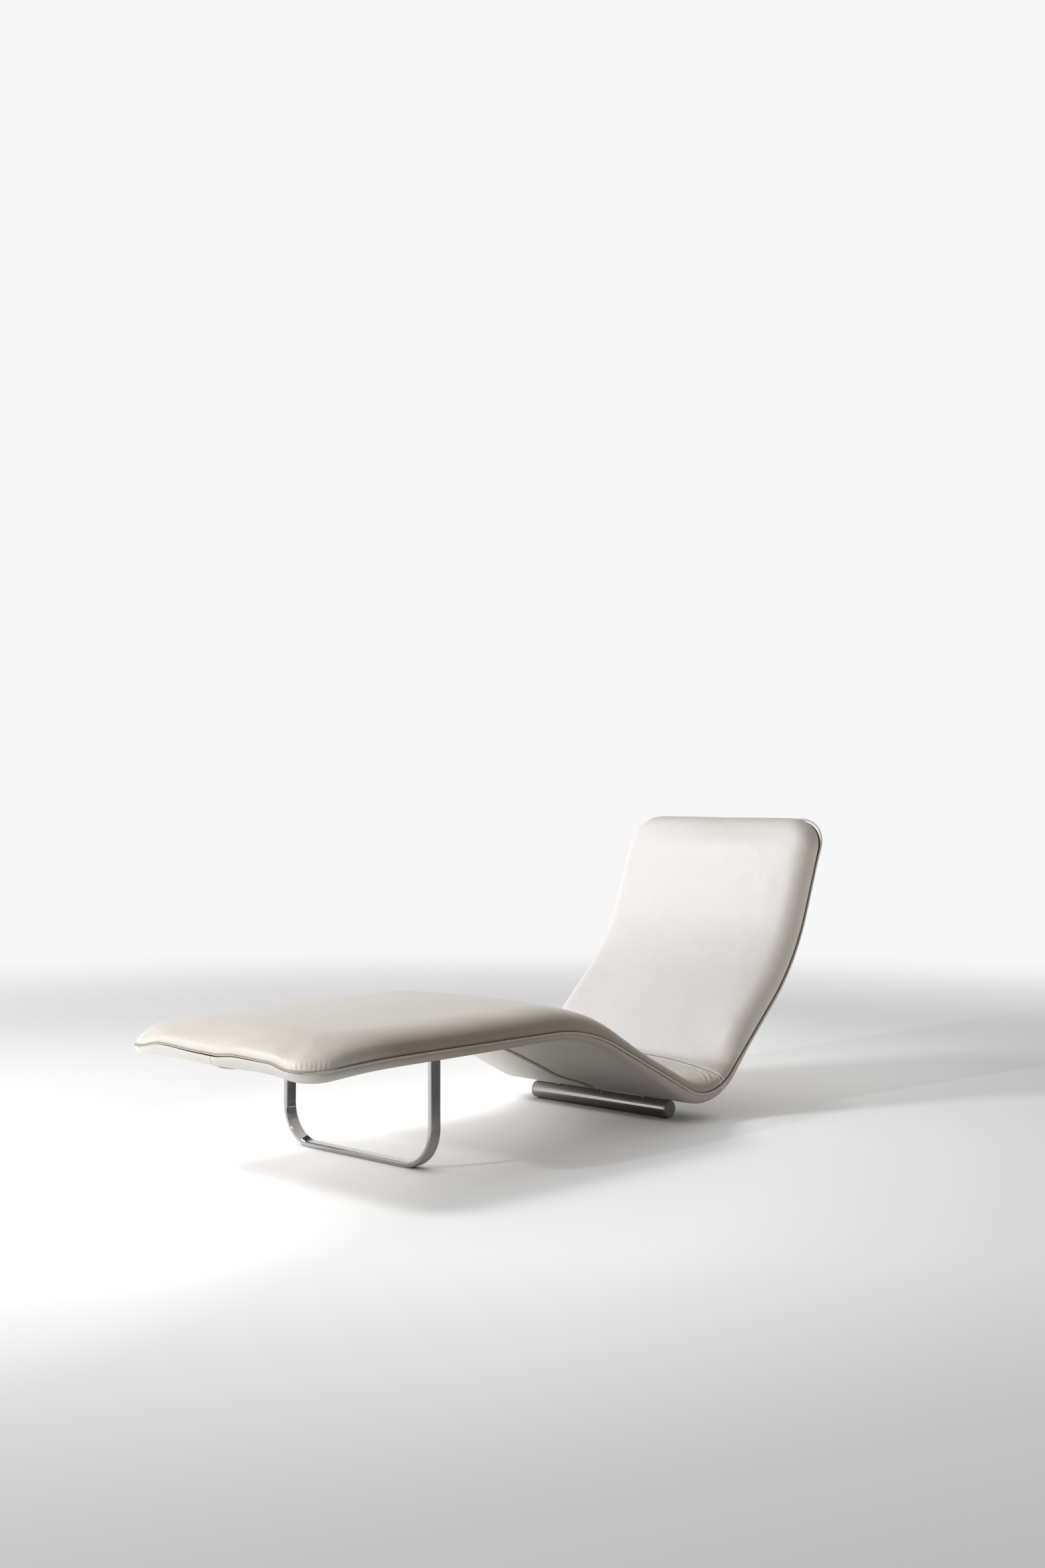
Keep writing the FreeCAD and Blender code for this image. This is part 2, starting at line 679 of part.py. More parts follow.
tube = add_body("cylinder_tube")
ring = add_sketch(tube, "tube_ring", "YZ_Plane")
add_circle(ring, "sizes.cylinder_diameter", size("cylinder_diameter"))
add_circle(ring, "sizes.cylinder_diameter - 2 * sizes.cylinder_wall", 2 * bore_radius)
add_pad(tube, ring, "sizes.cylinder_length - 2 * sizes.cap_thickness - 2 * sizes.fit_gap", both_ways=True)
doc.recompute()
bolt_holes = add_sketch(tube, "bolt_holes", "XY_Plane")
for sign in (-1, 1):
    add_circle(bolt_holes, "sizes.cylinder_bolt_diameter + sizes.hole_gap",
               size("cylinder_bolt_diameter") + size("hole_gap"), sign * bolt_x,
               x_formula="%d * sizes.cylinder_bolt_spacing / 2" % sign)
drilled = tube.newObject("PartDesign::Pocket", "drilled_wall")
drilled.Profile = bolt_holes
drilled.Reversed = True
drilled.setExpression("Length", "sizes.cylinder_diameter")
doc.recompute()
tube.Placement = cylinder_place


def end_cap(name, sign):
    """Turned cap: a flat disc with an eased rim and a spigot in the tube, along +X."""
    cap = add_body("cylinder_cap_" + name)
    half = add_sketch(cap, "cap_half_" + name, "XZ_Plane")
    spigot, edge = size("cap_spigot"), size("cap_edge")
    thick, small = size("cap_thickness"), bore_radius - fit_gap
    places = [Vector(-spigot, 0, 0), Vector(thick, 0, 0), Vector(thick, cylinder_radius - edge, 0),
              Vector(thick - edge, cylinder_radius, 0), Vector(0, cylinder_radius, 0), Vector(0, small, 0),
              Vector(-spigot, small, 0)]
    for start, finish in zip(places, places[1:] + places[:1]):
        half.addGeometry(Part.LineSegment(start, finish))
    axis, face, rim, side, shoulder, neck, back = range(7)
    for line in range(7):
        half.addConstraint(Sketcher.Constraint("Coincident", line, 2, (line + 1) % 7, 1))
    for line in (axis, side, neck):
        half.addConstraint(Sketcher.Constraint("Horizontal", line))
    for line in (face, shoulder, back):
        half.addConstraint(Sketcher.Constraint("Vertical", line))
    half.addConstraint(Sketcher.Constraint("PointOnObject", axis, 1, -1))
    half.addConstraint(Sketcher.Constraint("PointOnObject", shoulder, 1, -2))
    dimension(half, "DistanceX", back, 2, -1, 1, formula="sizes.cap_spigot", value=spigot)
    dimension(half, "DistanceX", -1, 1, face, 1, formula="sizes.cap_thickness", value=thick)
    dimension(half, "DistanceX", rim, 2, rim, 1, formula="sizes.cap_edge", value=edge)
    dimension(half, "DistanceY", rim, 1, rim, 2, formula="sizes.cap_edge", value=edge)
    dimension(half, "DistanceY", -1, 1, shoulder, 1, value=cylinder_radius,
              formula="sizes.cylinder_diameter / 2")
    dimension(half, "DistanceY", -1, 1, shoulder, 2, value=small,
              formula="sizes.cylinder_diameter / 2 - sizes.cylinder_wall - sizes.fit_gap")
    doc.recompute()
    turned = cap.newObject("PartDesign::Revolution", "turned_cap_" + name)
    turned.Profile = half
    turned.ReferenceAxis = (half, ["H_Axis"])
    turned.Angle = 360
    doc.recompute()
    place = Vector(sign * (size("cylinder_length") / 2 - thick), 0, cylinder_z)
    cap.Placement = Placement(place, Rotation(Vector(0, 0, 1), 0 if sign > 0 else 180))


end_cap("left", -1)
end_cap("right", 1)

strip_length = size("cylinder_length") - 2 * size("floor_strip_inset")
strip = Part.makeBox(strip_length, size("floor_strip_width"), size("floor_strip_side"),
                     Vector(-strip_length / 2, -size("floor_strip_width") / 2, 0))
hollow = Part.makeCylinder(cylinder_radius + fit_gap, 2 * strip_length, Vector(-strip_length, 0, cylinder_z),
                           Vector(1, 0, 0))
add_shape("floor_strip", strip.cut(hollow))


def leaning(shape):
    """Set a shape made about the cylinder's axis at its place, leaning with the bolts."""
    shape.Placement = cylinder_place.multiply(shape.Placement)
    return shape


# Levels along the leaning bolts, measured up from the cylinder's axis
seam_level = cylinder_radius + fit_gap + size("keel_seat")
seat_plate_low = seam_level + plate_top - size("seat_plate_thickness")
seat_plate_high = seat_plate_low + size("seat_plate_thickness")
bolt_radius = size("cylinder_bolt_diameter") / 2
bolt_room = bolt_radius + size("hole_gap") / 2
rail_reach = math.sqrt(max(0.0, rail_radius ** 2 - (plate_top - rail_n) ** 2))
plate_half = rail_x - rail_reach - 2 * fit_gap
plate = Part.makeBox(2 * plate_half, size("seat_plate_width"), size("seat_plate_thickness"),
                     Vector(-plate_half, -size("seat_plate_width") / 2, seat_plate_low))
bolts, spacers, slugs = [], [], []
for x in (-bolt_x, bolt_x):
    hole = Part.makeCylinder(bolt_room, seat_plate_high, Vector(x, 0, 0))
    plate = plate.cut(hole)
    head = Part.makeCylinder(size("cylinder_bolt_head") / 2, size("cylinder_bolt_head_height"),
                             Vector(x, 0, seat_plate_high + fit_gap))
    shank = Part.makeCylinder(bolt_radius, seat_plate_high + fit_gap + bolt_radius,
                              Vector(x, 0, -bolt_radius))
    bolts.append(leaning(head.fuse(shank).removeSplitter()))
    spacer = Part.makeCylinder(size("spacer_diameter") / 2, seat_plate_low - fit_gap, Vector(x, 0, 0))
    saddle = Part.makeCylinder(cylinder_radius + fit_gap, 2 * size("spacer_diameter"),
                               Vector(x - size("spacer_diameter"), 0, 0), Vector(1, 0, 0))
    spacers.append(leaning(spacer.cut(saddle).cut(hole)))
    slug = Part.makeCylinder(bore_radius - fit_gap, size("slug_length"),
                             Vector(x - size("slug_length") / 2, 0, 0), Vector(1, 0, 0))
    slugs.append(leaning(slug.cut(Part.makeCylinder(bolt_room, cylinder_radius + bolt_radius + fit_gap,
                                                    Vector(x, 0, -bolt_radius - fit_gap)))))
add_shape("seat_plate", leaning(plate))
add_shape("cylinder_bolts", Part.makeCompound(bolts))
add_shape("cylinder_spacers", Part.makeCompound(spacers))
add_shape("cylinder_slugs", Part.makeCompound(slugs))

# Room that the hardware needs in the padding and covers of the underside
spacer_room = size("spacer_diameter") / 2 + soft_gap
leg_rooms, seat_rooms = [], []
for sign in (-1, 1):
    bar_room = Part.makeBox(size("bar_thickness") + 2 * soft_gap, size("bar_width") + 2 * soft_gap, bar_top)
    bar_room.Placement = Placement(Vector(sign * leg_x - size("bar_thickness") / 2 - soft_gap,
                                          leg_here.y - size("bar_width") / 2 - soft_gap, 0), Rotation())
    leg_rooms.append(bar_room)
    plate_half_x = size("leg_plate_width") / 2 + soft_gap
    plate_half_y = size("leg_plate_length") / 2 + soft_gap
    leg_rooms.append(local_box(leg_s, plate_half_x, plate_top - size("leg_plate_thickness") - soft_gap,
                               plate_top + soft_gap, plate_half_y, sign * leg_x))
    seat_rooms.append(leaning(Part.makeCylinder(spacer_room, seat_plate_high, Vector(sign * bolt_x, 0, 0))))
plate_corner = Vector(-rail_x, -size("seat_plate_width") / 2 - soft_gap, seat_plate_low - soft_gap)
plate_room = Part.makeBox(2 * rail_x, size("seat_plate_width") + 2 * soft_gap,
                          size("seat_plate_thickness") + 2 * soft_gap, plate_corner)
seat_rooms.append(leaning(plate_room))

# Padding of the underside
pad_cuts = [size("end_roll"), middle(knee_bend), end(seat_bend), total_length - size("end_roll")]
pad_rooms = {"leg": leg_rooms, "seat": seat_rooms, "back": []}
for (name, rooms), first, last in zip(pad_rooms.items(), pad_cuts, pad_cuts[1:]):
    pad = loft(pad_wire, first, last)
    if rooms:
        pad = pad.cut(Part.makeCompound(rooms))
    add_shape("pad_" + name, max(pad.Solids, key=lambda solid: solid.Volume))

# Lower covers, cut for the leg and the spacers, with the lapped band over their joint
outer_half = loft(lambda s: half_lower_wire(s, 0.0, seam_half, 0.0), 0.0, total_length)
inner_half = loft(lambda s: half_lower_wire(s, leather, seam_half - leather, leather),
                  leather, total_length - leather)
cover = outer_half.cut(inner_half).cut(Part.makeCompound(leg_rooms + seat_rooms))
cover = max(cover.Solids, key=lambda solid: solid.Volume)
add_shape("bottom_cover_right", cover)
add_shape("bottom_cover_left", cover.mirror(Vector(0, 0, 0), Vector(1, 0, 0)))
band_end = size("foam_end_inset")
add_shape("bottom_seam_band", Part.makeCompound([
    loft(band_wire, band_end, band_stops[0]), loft(band_wire, band_stops[1], total_length - band_end)]))

# Piping in the seam: each half runs from the middle of the foot to the middle of the head
welt_x = half_width + size("welt_bulge") - size("welt_diameter") / 2
welt_inset = half_width - welt_x
corner = size("corner_radius") - welt_inset


def corner_path(s, x, direction):
    """Half of one end of the body: the straight from the middle and the quarter-round corner."""
    here = station(s)
    forward = Vector(0, math.cos(here.angle), math.sin(here.angle)) * direction
    tip = Vector(0, here.y, here.z) + forward * welt_inset
    across = Vector(math.copysign(1, x), 0, 0)
    bend_start = tip + across * (abs(x) - corner)
    centre = bend_start + forward * corner
    half_turn = (across - forward) * (corner * math.sqrt(0.5))
    bend_end = centre + across * corner
    return [Part.makeLine(tip, bend_start), Part.Arc(bend_start, centre + half_turn, bend_end).toShape()]


for name, sign in (("left", -1), ("right", 1)):
    x = sign * welt_x
    foot = corner_path(0.0, x, 1)
    head = corner_path(total_length, x, -1)
    side = rail_path(x, 0.0, size("corner_radius"), total_length - size("corner_radius"))
    path = Part.Wire(foot + side.Edges + [edge for edge in reversed(head)])
    add_shape("welt_" + name, swept_round(path, size("welt_diameter") / 2))

# Stand the object on the floor with its box centred on the origin
doc.recompute()
box = FreeCAD.BoundBox()
for piece in pieces:
    box.add(piece.Shape.optimalBoundingBox(False, False))
to_centre = Vector(-(box.XMin + box.XMax) / 2, -(box.YMin + box.YMax) / 2, -box.ZMin)
for piece in pieces:
    piece.Placement = Placement(to_centre, Rotation()).multiply(piece.Placement)
doc.recompute()

# Every object must be sound before anything is written
for item in doc.Objects:
    if "Invalid" in item.State or "Error" in item.State:
        raise RuntimeError("%s failed: %s" % (item.Label, item.State))
for piece in pieces:
    if piece.Shape.isNull() or not piece.Shape.isValid():
        raise RuntimeError("%s has no valid shape" % piece.Label)

os.makedirs("parts", exist_ok=True)
for piece in pieces:
    piece.Shape.exportStep("parts/%s.step" % piece.Label)
print("%d pieces, box %.1f x %.1f x %.1f mm" % (len(pieces), box.XLength, box.YLength, box.ZLength))
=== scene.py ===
"""Chaise longue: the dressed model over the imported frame, with its studio, light and camera.

The padded body follows one side profile, the seam line between the upper and lower covers. A point of it
is given by s along that line, x across and n above it, in millimetres. The camera stands on the +x side.
Places in the studio are in metres.
"""
import json
import math
from collections import namedtuple

import bmesh
import bpy
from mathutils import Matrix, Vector, noise


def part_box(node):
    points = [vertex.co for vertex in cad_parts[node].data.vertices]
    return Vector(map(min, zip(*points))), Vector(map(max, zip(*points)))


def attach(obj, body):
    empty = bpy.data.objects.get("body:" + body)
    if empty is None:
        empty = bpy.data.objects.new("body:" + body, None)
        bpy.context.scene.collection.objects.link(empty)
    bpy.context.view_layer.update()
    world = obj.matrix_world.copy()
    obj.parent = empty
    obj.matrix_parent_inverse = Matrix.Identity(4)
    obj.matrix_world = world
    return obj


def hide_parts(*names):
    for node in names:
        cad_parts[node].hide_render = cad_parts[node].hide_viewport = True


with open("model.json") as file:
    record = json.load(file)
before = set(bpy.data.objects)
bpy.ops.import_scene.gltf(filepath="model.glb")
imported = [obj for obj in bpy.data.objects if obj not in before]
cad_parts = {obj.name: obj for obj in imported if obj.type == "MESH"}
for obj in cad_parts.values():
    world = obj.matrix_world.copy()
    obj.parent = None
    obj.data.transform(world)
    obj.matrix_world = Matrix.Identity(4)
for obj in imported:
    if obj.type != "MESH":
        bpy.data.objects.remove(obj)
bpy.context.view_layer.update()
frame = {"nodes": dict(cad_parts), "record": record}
MM = 0.001
NEARLY_ZERO = 1e-6

Station = namedtuple("Station", "y z angle")
Segment = namedtuple("Segment", "start length y z angle curvature")
Wave = namedtuple("Wave", "size scale seed")
Ripple = namedtuple("Ripple", "height length wander inset width")

# Side profile of the seam, corner to corner, with slopes in degrees
LEG_LENGTH = 815.0
THIGH_LENGTH = 520.0
LOWER_BACK_LENGTH = 476.0
UPPER_BACK_LENGTH = 392.0
THIGH_SLOPE = 26.5
LOWER_BACK_SLOPE = 42.5
UPPER_BACK_SLOPE = 69.0
KNEE_RADIUS = 490.0
SEAT_RADIUS = 156.0
SHOULDER_RADIUS = 570.0
SEAT_SETBACK = 29.7
SEAT_GAP = 0.3

# Plan and rolled edges of the padded body
HALF_WIDTH = 312.0
FOOT_CORNER, HEAD_CORNER = 66.0, 86.0
UPPER_ROLL, BACK_ROLL = 95.0, 64.0
FOOT_ROLL, HEAD_ROLL = 150.0, 58.0
SIDE_FULLNESS, FOOT_FULLNESS, HEAD_FULLNESS = 0.42, 0.62, 0.5
LOWER_ROLL = 26.0
KEEL_SEAT = 26.0
CENTRE_START, CENTRE_RUN = 20.0, 130.0
CROWN_RUN = 110.0
INSIDE_RUN = 60.0
RELIEF_RUN = 26.0
KEEL_END_SHARE, KEEL_END_RUN = 0.25, 60.0
LOWER_WAVE_RUN = 40.0

# Seam, piping and the covers' tuck under it
UPPER_TUCK, UPPER_TUCK_FADE = 4.0, 5.0
LOWER_TUCK, LOWER_TUCK_FADE = 2.4, 2.0
CLOSED_TUCK = 0.3
SEAM_HALF, FOOT_SEAM_HALF = 2.2, 1.1
FOOT_SEAM_SINK, FOOT_SEAM_START, FOOT_SEAM_RUN = 3.2, 10.0, 90.0
COVER_LAP, INNER_TUCK = 0.9, 0.4
COVER_LIFT, COVER_LIFT_RUN = 8.0, 14.0
LOWER_THICKNESS, LOWER_THICK_RUN = 1.6, 6.0
WELT_RADIUS, WELT_BULGE, WELT_SIDES = 2.4, 1.9, 14
LOOSE_PIPING, LOOSE_RUN = 6.0, 60.0

# Wave of the foot's seam as (x, height), sag of the foot's corners and dip of the head's seam
FOOT_MARKS = [(-HALF_WIDTH, -8.0), (-253.0, -6.5), (-174.0, 5.5), (-35.0, 0.8), (9.0, 0.0), (75.0, 5.0),
              (180.0, 2.5), (242.0, -8.0), (HALF_WIDTH, -8.5)]
FOOT_RUN = 130.0
SAG_FAR, SAG_NEAR, SAG_START = 6.0, 12.5, 0.35
HEAD_DIP, HEAD_DIP_RUN = 3.0, 60.0

# Cross seam and its stitches
CROSS_SEAM_SHIFT = 48.0
CROSS_SEAM_BOW = 34.0
LIP_HEIGHT, LIP_OFFSET, LIP_WIDTH = 1.1, 6.0, 3.6
GROOVE_DEPTH, GROOVE_WIDTH = 3.6, 2.6
VALLEY_DEPTH, VALLEY_WIDTH = 3.0, 30.0
STITCH_OFFSET, STITCH_INSET, STITCH_STEPS = 5.5, 22.0, 60
STITCH_PITCH, STITCH_LENGTH = 6.2 * MM, 4.6 * MM
STITCH_RADIUS, STITCH_LIFT = 0.55 * MM, 0.3 * MM
STITCH_SIDES = 6
PROBE = 1.5

# Seat folds
FOLD_NEAR, FOLD_FAR = 7.5, 2.4
FOLD_GAP = 15.5
FOLD_SLANT = math.radians(28.0)
FOLD_REACH = 90.0
FOLD_START, FOLD_RISE = 6.0, 9.0
FOLD_FULL, FOLD_FADE = 22.0, 60.0
FOLD_INNER, FOLD_SPREAD = 165.0, 120.0
FOLD_SHARE, FOLD_CREST, FOLD_HOLLOW = 0.75, 1.4, 0.4

# Unevenness of the leather and small puckers beside the seams
FOLD_WANDER = Wave(7.0, 48, 3.1)
FOLD_CHANGE = Wave(0.7, 38, 6.4)
UPPER_WAVES = (Wave(1.6, 170, 0.7), Wave(0.7, 60, 5.2))
LOWER_WAVE = Wave(0.8, 150, 12.4)
WELT_WAVE = Wave(0.3, 45, 21.0)
SEAM_RIPPLE = Ripple(0.35, 2.4, Wave(3.0, 40, 8.8), 13.0, 9.0)
SIDE_RIPPLE = Ripple(0.35, 6.1, Wave(2.2, 80, 9.3), 6.0, 9.0)
CORNER_RIPPLE = Ripple(1.2, 2.2, Wave(1.5, 30, 2.6), 8.0, 6.0)
CORNER_RIPPLE_PLACE, CORNER_RIPPLE_RUN = 25.0, 40.0
CORNER_RIPPLE_INNER, CORNER_RIPPLE_SPREAD = 190.0, 60.0

# Lapped band under the body
BAND_HALF, BAND_THICKNESS = 9.5, 2.4
BAND_ROOT, BAND_SIDE, BAND_EASE = 0.2, 1.0, 0.6
BAND_RIDGE, BAND_RIDGE_HEIGHT = 1.2, 0.5
BAND_MARGIN, BAND_STEP = 0.8, 6.0
BAND_FLARE, BAND_FLARE_RUN = 0.9, 14.0
BAND_FLUSH, BAND_RISE = 0.15, 30.0
BAND_TONE_START, BAND_TONE_RUN = 60.0, 200.0

# Bar leg and floor cylinder
BAR_WIDTH, BAR_THICKNESS = 30.0, 12.0
BAR_EDGE, BAR_BEND = 4.0, 84.0
EDGE_STEPS, BEND_STEPS = 6, 40
CYLINDER_RADIUS = 21.2
TUBE_WALL, TUBE_EASE = 3.0, 0.4
CAP_THICKNESS, CAP_GAP, CAP_EASE = 4.0, 0.3, 0.8
CAP_GROOVE_OUTER, CAP_GROOVE_FLOOR, CAP_GROOVE_INNER, CAP_GROOVE_DEPTH = 1.9, 2.2, 2.6, 0.5
TURN_STEPS = 160
BAR_SHARP, TUBE_SHARP, CAP_SHARP = 40, 30, 25

# Fineness of the covers' meshes and of the piping
UPPER_STEP, LOWER_STEP = 5.5, 7.0
ROLL_STEP, ROLL_GROWTH = 0.35, 0.16
FOOT_STEP, FOOT_GROWTH = 2.2, 0.05
SEAM_STEP, SEAM_GROWTH = 1.6, 0.03
LEAST_STEP = 0.2
SEAM_BLEND = 260.0
END_STEPS, CORNER_STEPS, SIDE_STEPS = 40, 24, 330

# Tones stored on the covers: rim of patina and painted shade, painted seam shade, painted lip highlight
EDGE_TONE = 95.0
# Painted shade beside the seams and along the cross seam's groove
SEAM_TONE, LOWER_SEAM_SHARE = 2.2, 0.3
CROSS_LINE_TONE, CROSS_LINE_WIDTH = 0.8, 1.9
# Painted highlight on the cross seam's two lips
LIP_TONE_WIDTH = 2.6
PALE_RUN = 260.0
# Rim strength: partly patina, partly painted shade, strongest on the leg's shaded near side
RIM_NEAR, RIM_BACK, RIM_FAR = 1.0, 0.8, 0.36
RIM_TURN, RIM_START, RIM_RISE = 100.0, 40.0, 220.0

tube_low, tube_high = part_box("cylinder_tube")
AXIS_Y = (tube_low[1] + tube_high[1]) / 2 / MM
AXIS_Z = (tube_low[2] + tube_high[2]) / 2 / MM
TUBE_HALF = (tube_high[0] - tube_low[0]) / 2 / MM
SEAT_REACH = SEAT_RADIUS + KEEL_SEAT + SEAT_GAP + CYLINDER_RADIUS


# Side profile
def along(segment, distance):
    """Point and direction at a distance along one line or arc."""
    if segment.curvature == 0:
        return Station(segment.y + distance * math.cos(segment.angle),
                       segment.z + distance * math.sin(segment.angle), segment.angle)
    angle = segment.angle + distance * segment.curvature
    return Station(segment.y + (math.sin(angle) - math.sin(segment.angle)) / segment.curvature,
                   segment.z - (math.cos(angle) - math.cos(segment.angle)) / segment.curvature, angle)


def side_profile():
    """Lines and arcs of the seam from the foot to the head, resting the seat on the cylinder."""
    slopes = [0.0, -THIGH_SLOPE, LOWER_BACK_SLOPE, UPPER_BACK_SLOPE]
    radii = [KNEE_RADIUS, SEAT_RADIUS, SHOULDER_RADIUS]
    lengths = [LEG_LENGTH, THIGH_LENGTH, LOWER_BACK_LENGTH, UPPER_BACK_LENGTH]
    turns = [math.radians(after - before) for before, after in zip(slopes, slopes[1:])]
    tangents = [0.0] + [radius * abs(math.tan(turn / 2)) for radius, turn in zip(radii, turns)] + [0.0]
    segments = []
    start, y, z, angle = 0.0, 0.0, 0.0, 0.0
    for index, length in enumerate(lengths):
        runs = [(length - tangents[index] - tangents[index + 1], 0.0)]
        if index < len(turns):
            runs.append((radii[index] * abs(turns[index]), math.copysign(1 / radii[index], turns[index])))
        for run, curvature in runs:
            segments.append(Segment(start, run, y, z, angle, curvature))
            here = along(segments[-1], run)
            start, y, z, angle = start + run, here.y, here.z, here.angle
    bend = next(segment for segment in segments if segment.curvature == 1 / SEAT_RADIUS)
    centre_y = bend.y - SEAT_RADIUS * math.sin(bend.angle)
    centre_z = bend.z + SEAT_RADIUS * math.cos(bend.angle)
    shift_y = AXIS_Y + SEAT_SETBACK - centre_y
    shift_z = AXIS_Z + math.sqrt(SEAT_REACH ** 2 - SEAT_SETBACK ** 2) - centre_z
    return [segment._replace(y=segment.y + shift_y, z=segment.z + shift_z) for segment in segments]


profile = side_profile()
leg_run, knee_bend, thigh_run, seat_bend, loin_run, shoulder_bend, head_run = profile
TOTAL = head_run.start + head_run.length


def middle(segment):
    return segment.start + segment.length / 2


def end(segment):
    return segment.start + segment.length


def station(s):
    for segment in profile:
        if s <= end(segment) or segment is profile[-1]:
            return along(segment, s - segment.start)


def spot(s, x, n):
    """Point in metres at s along the seam, x across the body and n above the seam."""
    here = station(s)
    return Vector((x, here.y - n * math.sin(here.angle), here.z + n * math.cos(here.angle))) * MM


def ease(value, start, run):
    """Smooth step from 0 at start to 1 a run further on."""
    t = min(max((value - start) / run, 0.0), 1.0)
    return t * t * (3 - 2 * t)


def blend(s, marks):
    """Smooth value at s between marked values."""
    for (s0, v0), (s1, v1) in zip(marks, marks[1:]):
        if s <= s1:
            return v0 + (v1 - v0) * ease(s, s0, s1 - s0)
    return marks[-1][1]


def bump(t, width):
    """Bell of height 1 at t = 0."""
    return math.exp(-(t / width) ** 2)


def uneven(s, x, wave):
    """Smooth noise over the covers."""
    return wave.size * noise.noise(Vector((s / wave.scale + wave.seed, x / wave.scale, wave.seed)))


# Heights marked along the seam: side rolls, middle and crown above it, edge and keel below it
roll_marks = [(middle(leg_run), 45.0), (middle(knee_bend), 48.0), (middle(thigh_run), 31.0),
              (seat_bend.start, 31.0), (end(seat_bend), 31.0), (middle(loin_run), 54.0),
              (middle(head_run), 54.0), (TOTAL, 50.0)]
centre_marks = [(middle(leg_run), 45.0), (middle(knee_bend), 48.0), (middle(thigh_run), 31.0),
                (middle(seat_bend), 31.0), (middle(shoulder_bend), 54.0), (TOTAL, 50.0)]
crown_marks = [(middle(leg_run), 12.0), (middle(knee_bend), 9.0), (middle(thigh_run), 8.0),
               (end(seat_bend), 8.0), (middle(loin_run), 12.0)]
edge_marks = [(middle(leg_run), 22.0), (middle(knee_bend), 18.5), (seat_bend.start, 25.4),
              (end(seat_bend), 25.4), (middle(loin_run), 19.0)]
keel_marks = [(middle(leg_run), 33.0), (middle(knee_bend), 50.0), (middle(thigh_run), 44.0),
              (seat_bend.start, KEEL_SEAT), (end(seat_bend), KEEL_SEAT), (middle(loin_run), 29.0)]

# Fullness of the lower rim and width of the upper side roll marked along the seam
rim_marks = [(seat_bend.start, 0.5), (middle(loin_run), 0.95)]
side_roll_marks = [(middle(knee_bend), UPPER_ROLL), (end(seat_bend), BACK_ROLL)]
CROSS_SEAM = middle(seat_bend) + CROSS_SEAM_SHIFT


# Plan and seam
def corner_at(s):
    """Plan radius of the corners at the nearer end."""
    return FOOT_CORNER if s < TOTAL / 2 else HEAD_CORNER


def plan_half(s):
    """Half width of the body at s, with its rounded corners."""
    corner = corner_at(s)
    inside = min(max(min(s, TOTAL - s), 0.0), corner)
    return HALF_WIDTH - corner + math.sqrt(corner ** 2 - (corner - inside) ** 2)


def to_outline(s, x):
    """Corner radius, and the distances from the nearer end and the nearer side."""
    return corner_at(s), min(s, TOTAL - s), HALF_WIDTH - abs(x)


def edge_distance(s, x):
    """Distance in from the body's rounded outline."""
    corner, from_end, from_side = to_outline(s, x)
    if from_end < corner and from_side < corner:
        return corner - math.hypot(corner - from_end, corner - from_side)
    return min(from_end, from_side)


def inward(s, x):
    """Direction in (s, x) from the nearest outline into the body."""
    corner, from_end, from_side = to_outline(s, x)
    end_way = 1 if s < TOTAL / 2 else -1
    side_way = -1 if x > 0 else 1
    if from_end < corner and from_side < corner:
        ahead, aside = corner - from_end, corner - from_side
        reach = max(NEARLY_ZERO, math.hypot(ahead, aside))
        return end_way * ahead / reach, side_way * aside / reach
    if from_end < from_side:
        return end_way, 0.0
    return 0.0, side_way


def end_distance(s, x):
    """Distances from the foot's and the head's outline, along the body."""
    cuts = []
    for corner in (FOOT_CORNER, HEAD_CORNER):
        past = max(0.0, abs(x) - HALF_WIDTH + corner)
        cuts.append(corner - math.sqrt(max(0.0, corner ** 2 - past ** 2)))
    return max(0.0, s - cuts[0]), max(0.0, TOTAL - cuts[1] - s)


def rolled(distance, roll, fullness):
    """Height of a rolled edge, 0 to 1, at a distance in from its outline, flat at the inner end."""
    t = min(max(distance / roll, 0.0), 1.0)
    return (1 - (1 - t) ** 3) ** fullness


def open_seam(s):
    """0 on the foot's face, where the covers close over the piping, to 1 past its corners."""
    return ease(s, FOOT_SEAM_START, FOOT_SEAM_RUN)


def seam_half(s):
    return FOOT_SEAM_HALF + (SEAM_HALF - FOOT_SEAM_HALF) * open_seam(s)


def tucked(s, x, n, seam, tuck, fade):
    """Point of a cover, drawn in under the welt near the seam."""
    pull = tuck * (CLOSED_TUCK + (1 - CLOSED_TUCK) * open_seam(s)) * math.exp(-abs(n - seam) / fade)
    ahead, aside = inward(s, x)
    return spot(s + pull * ahead, x + pull * aside, n)


def corner_sag(s, x):
    """Sag of the two foot corners, the near one more."""
    side = ease(abs(x) / HALF_WIDTH, SAG_START, 1 - SAG_START) * bump(s, FOOT_RUN)
    return side * (SAG_NEAR if x > 0 else SAG_FAR)


def droop(s, x):
    """Height of the seam over its straight line: it waves along the foot and dips mid-head."""
    dip = HEAD_DIP * bump(x, HEAD_DIP_RUN) * bump(TOTAL - s, HEAD_DIP_RUN)
    return blend(x, FOOT_MARKS) * bump(s, FOOT_RUN) - dip


def seam_at(x):
    """Place of the bowed cross seam."""
    return CROSS_SEAM + CROSS_SEAM_BOW * (1 - (x / HALF_WIDTH) ** 2)


# Relief of the covers
def puckers(ripple, way, s, x, distance):
    """Small puckers, spaced along a way and strongest at an inset from a seam."""
    phase = way / ripple.length + uneven(s, x, ripple.wander)
    return ripple.height * math.sin(phase) * bump(distance - ripple.inset, ripple.width)


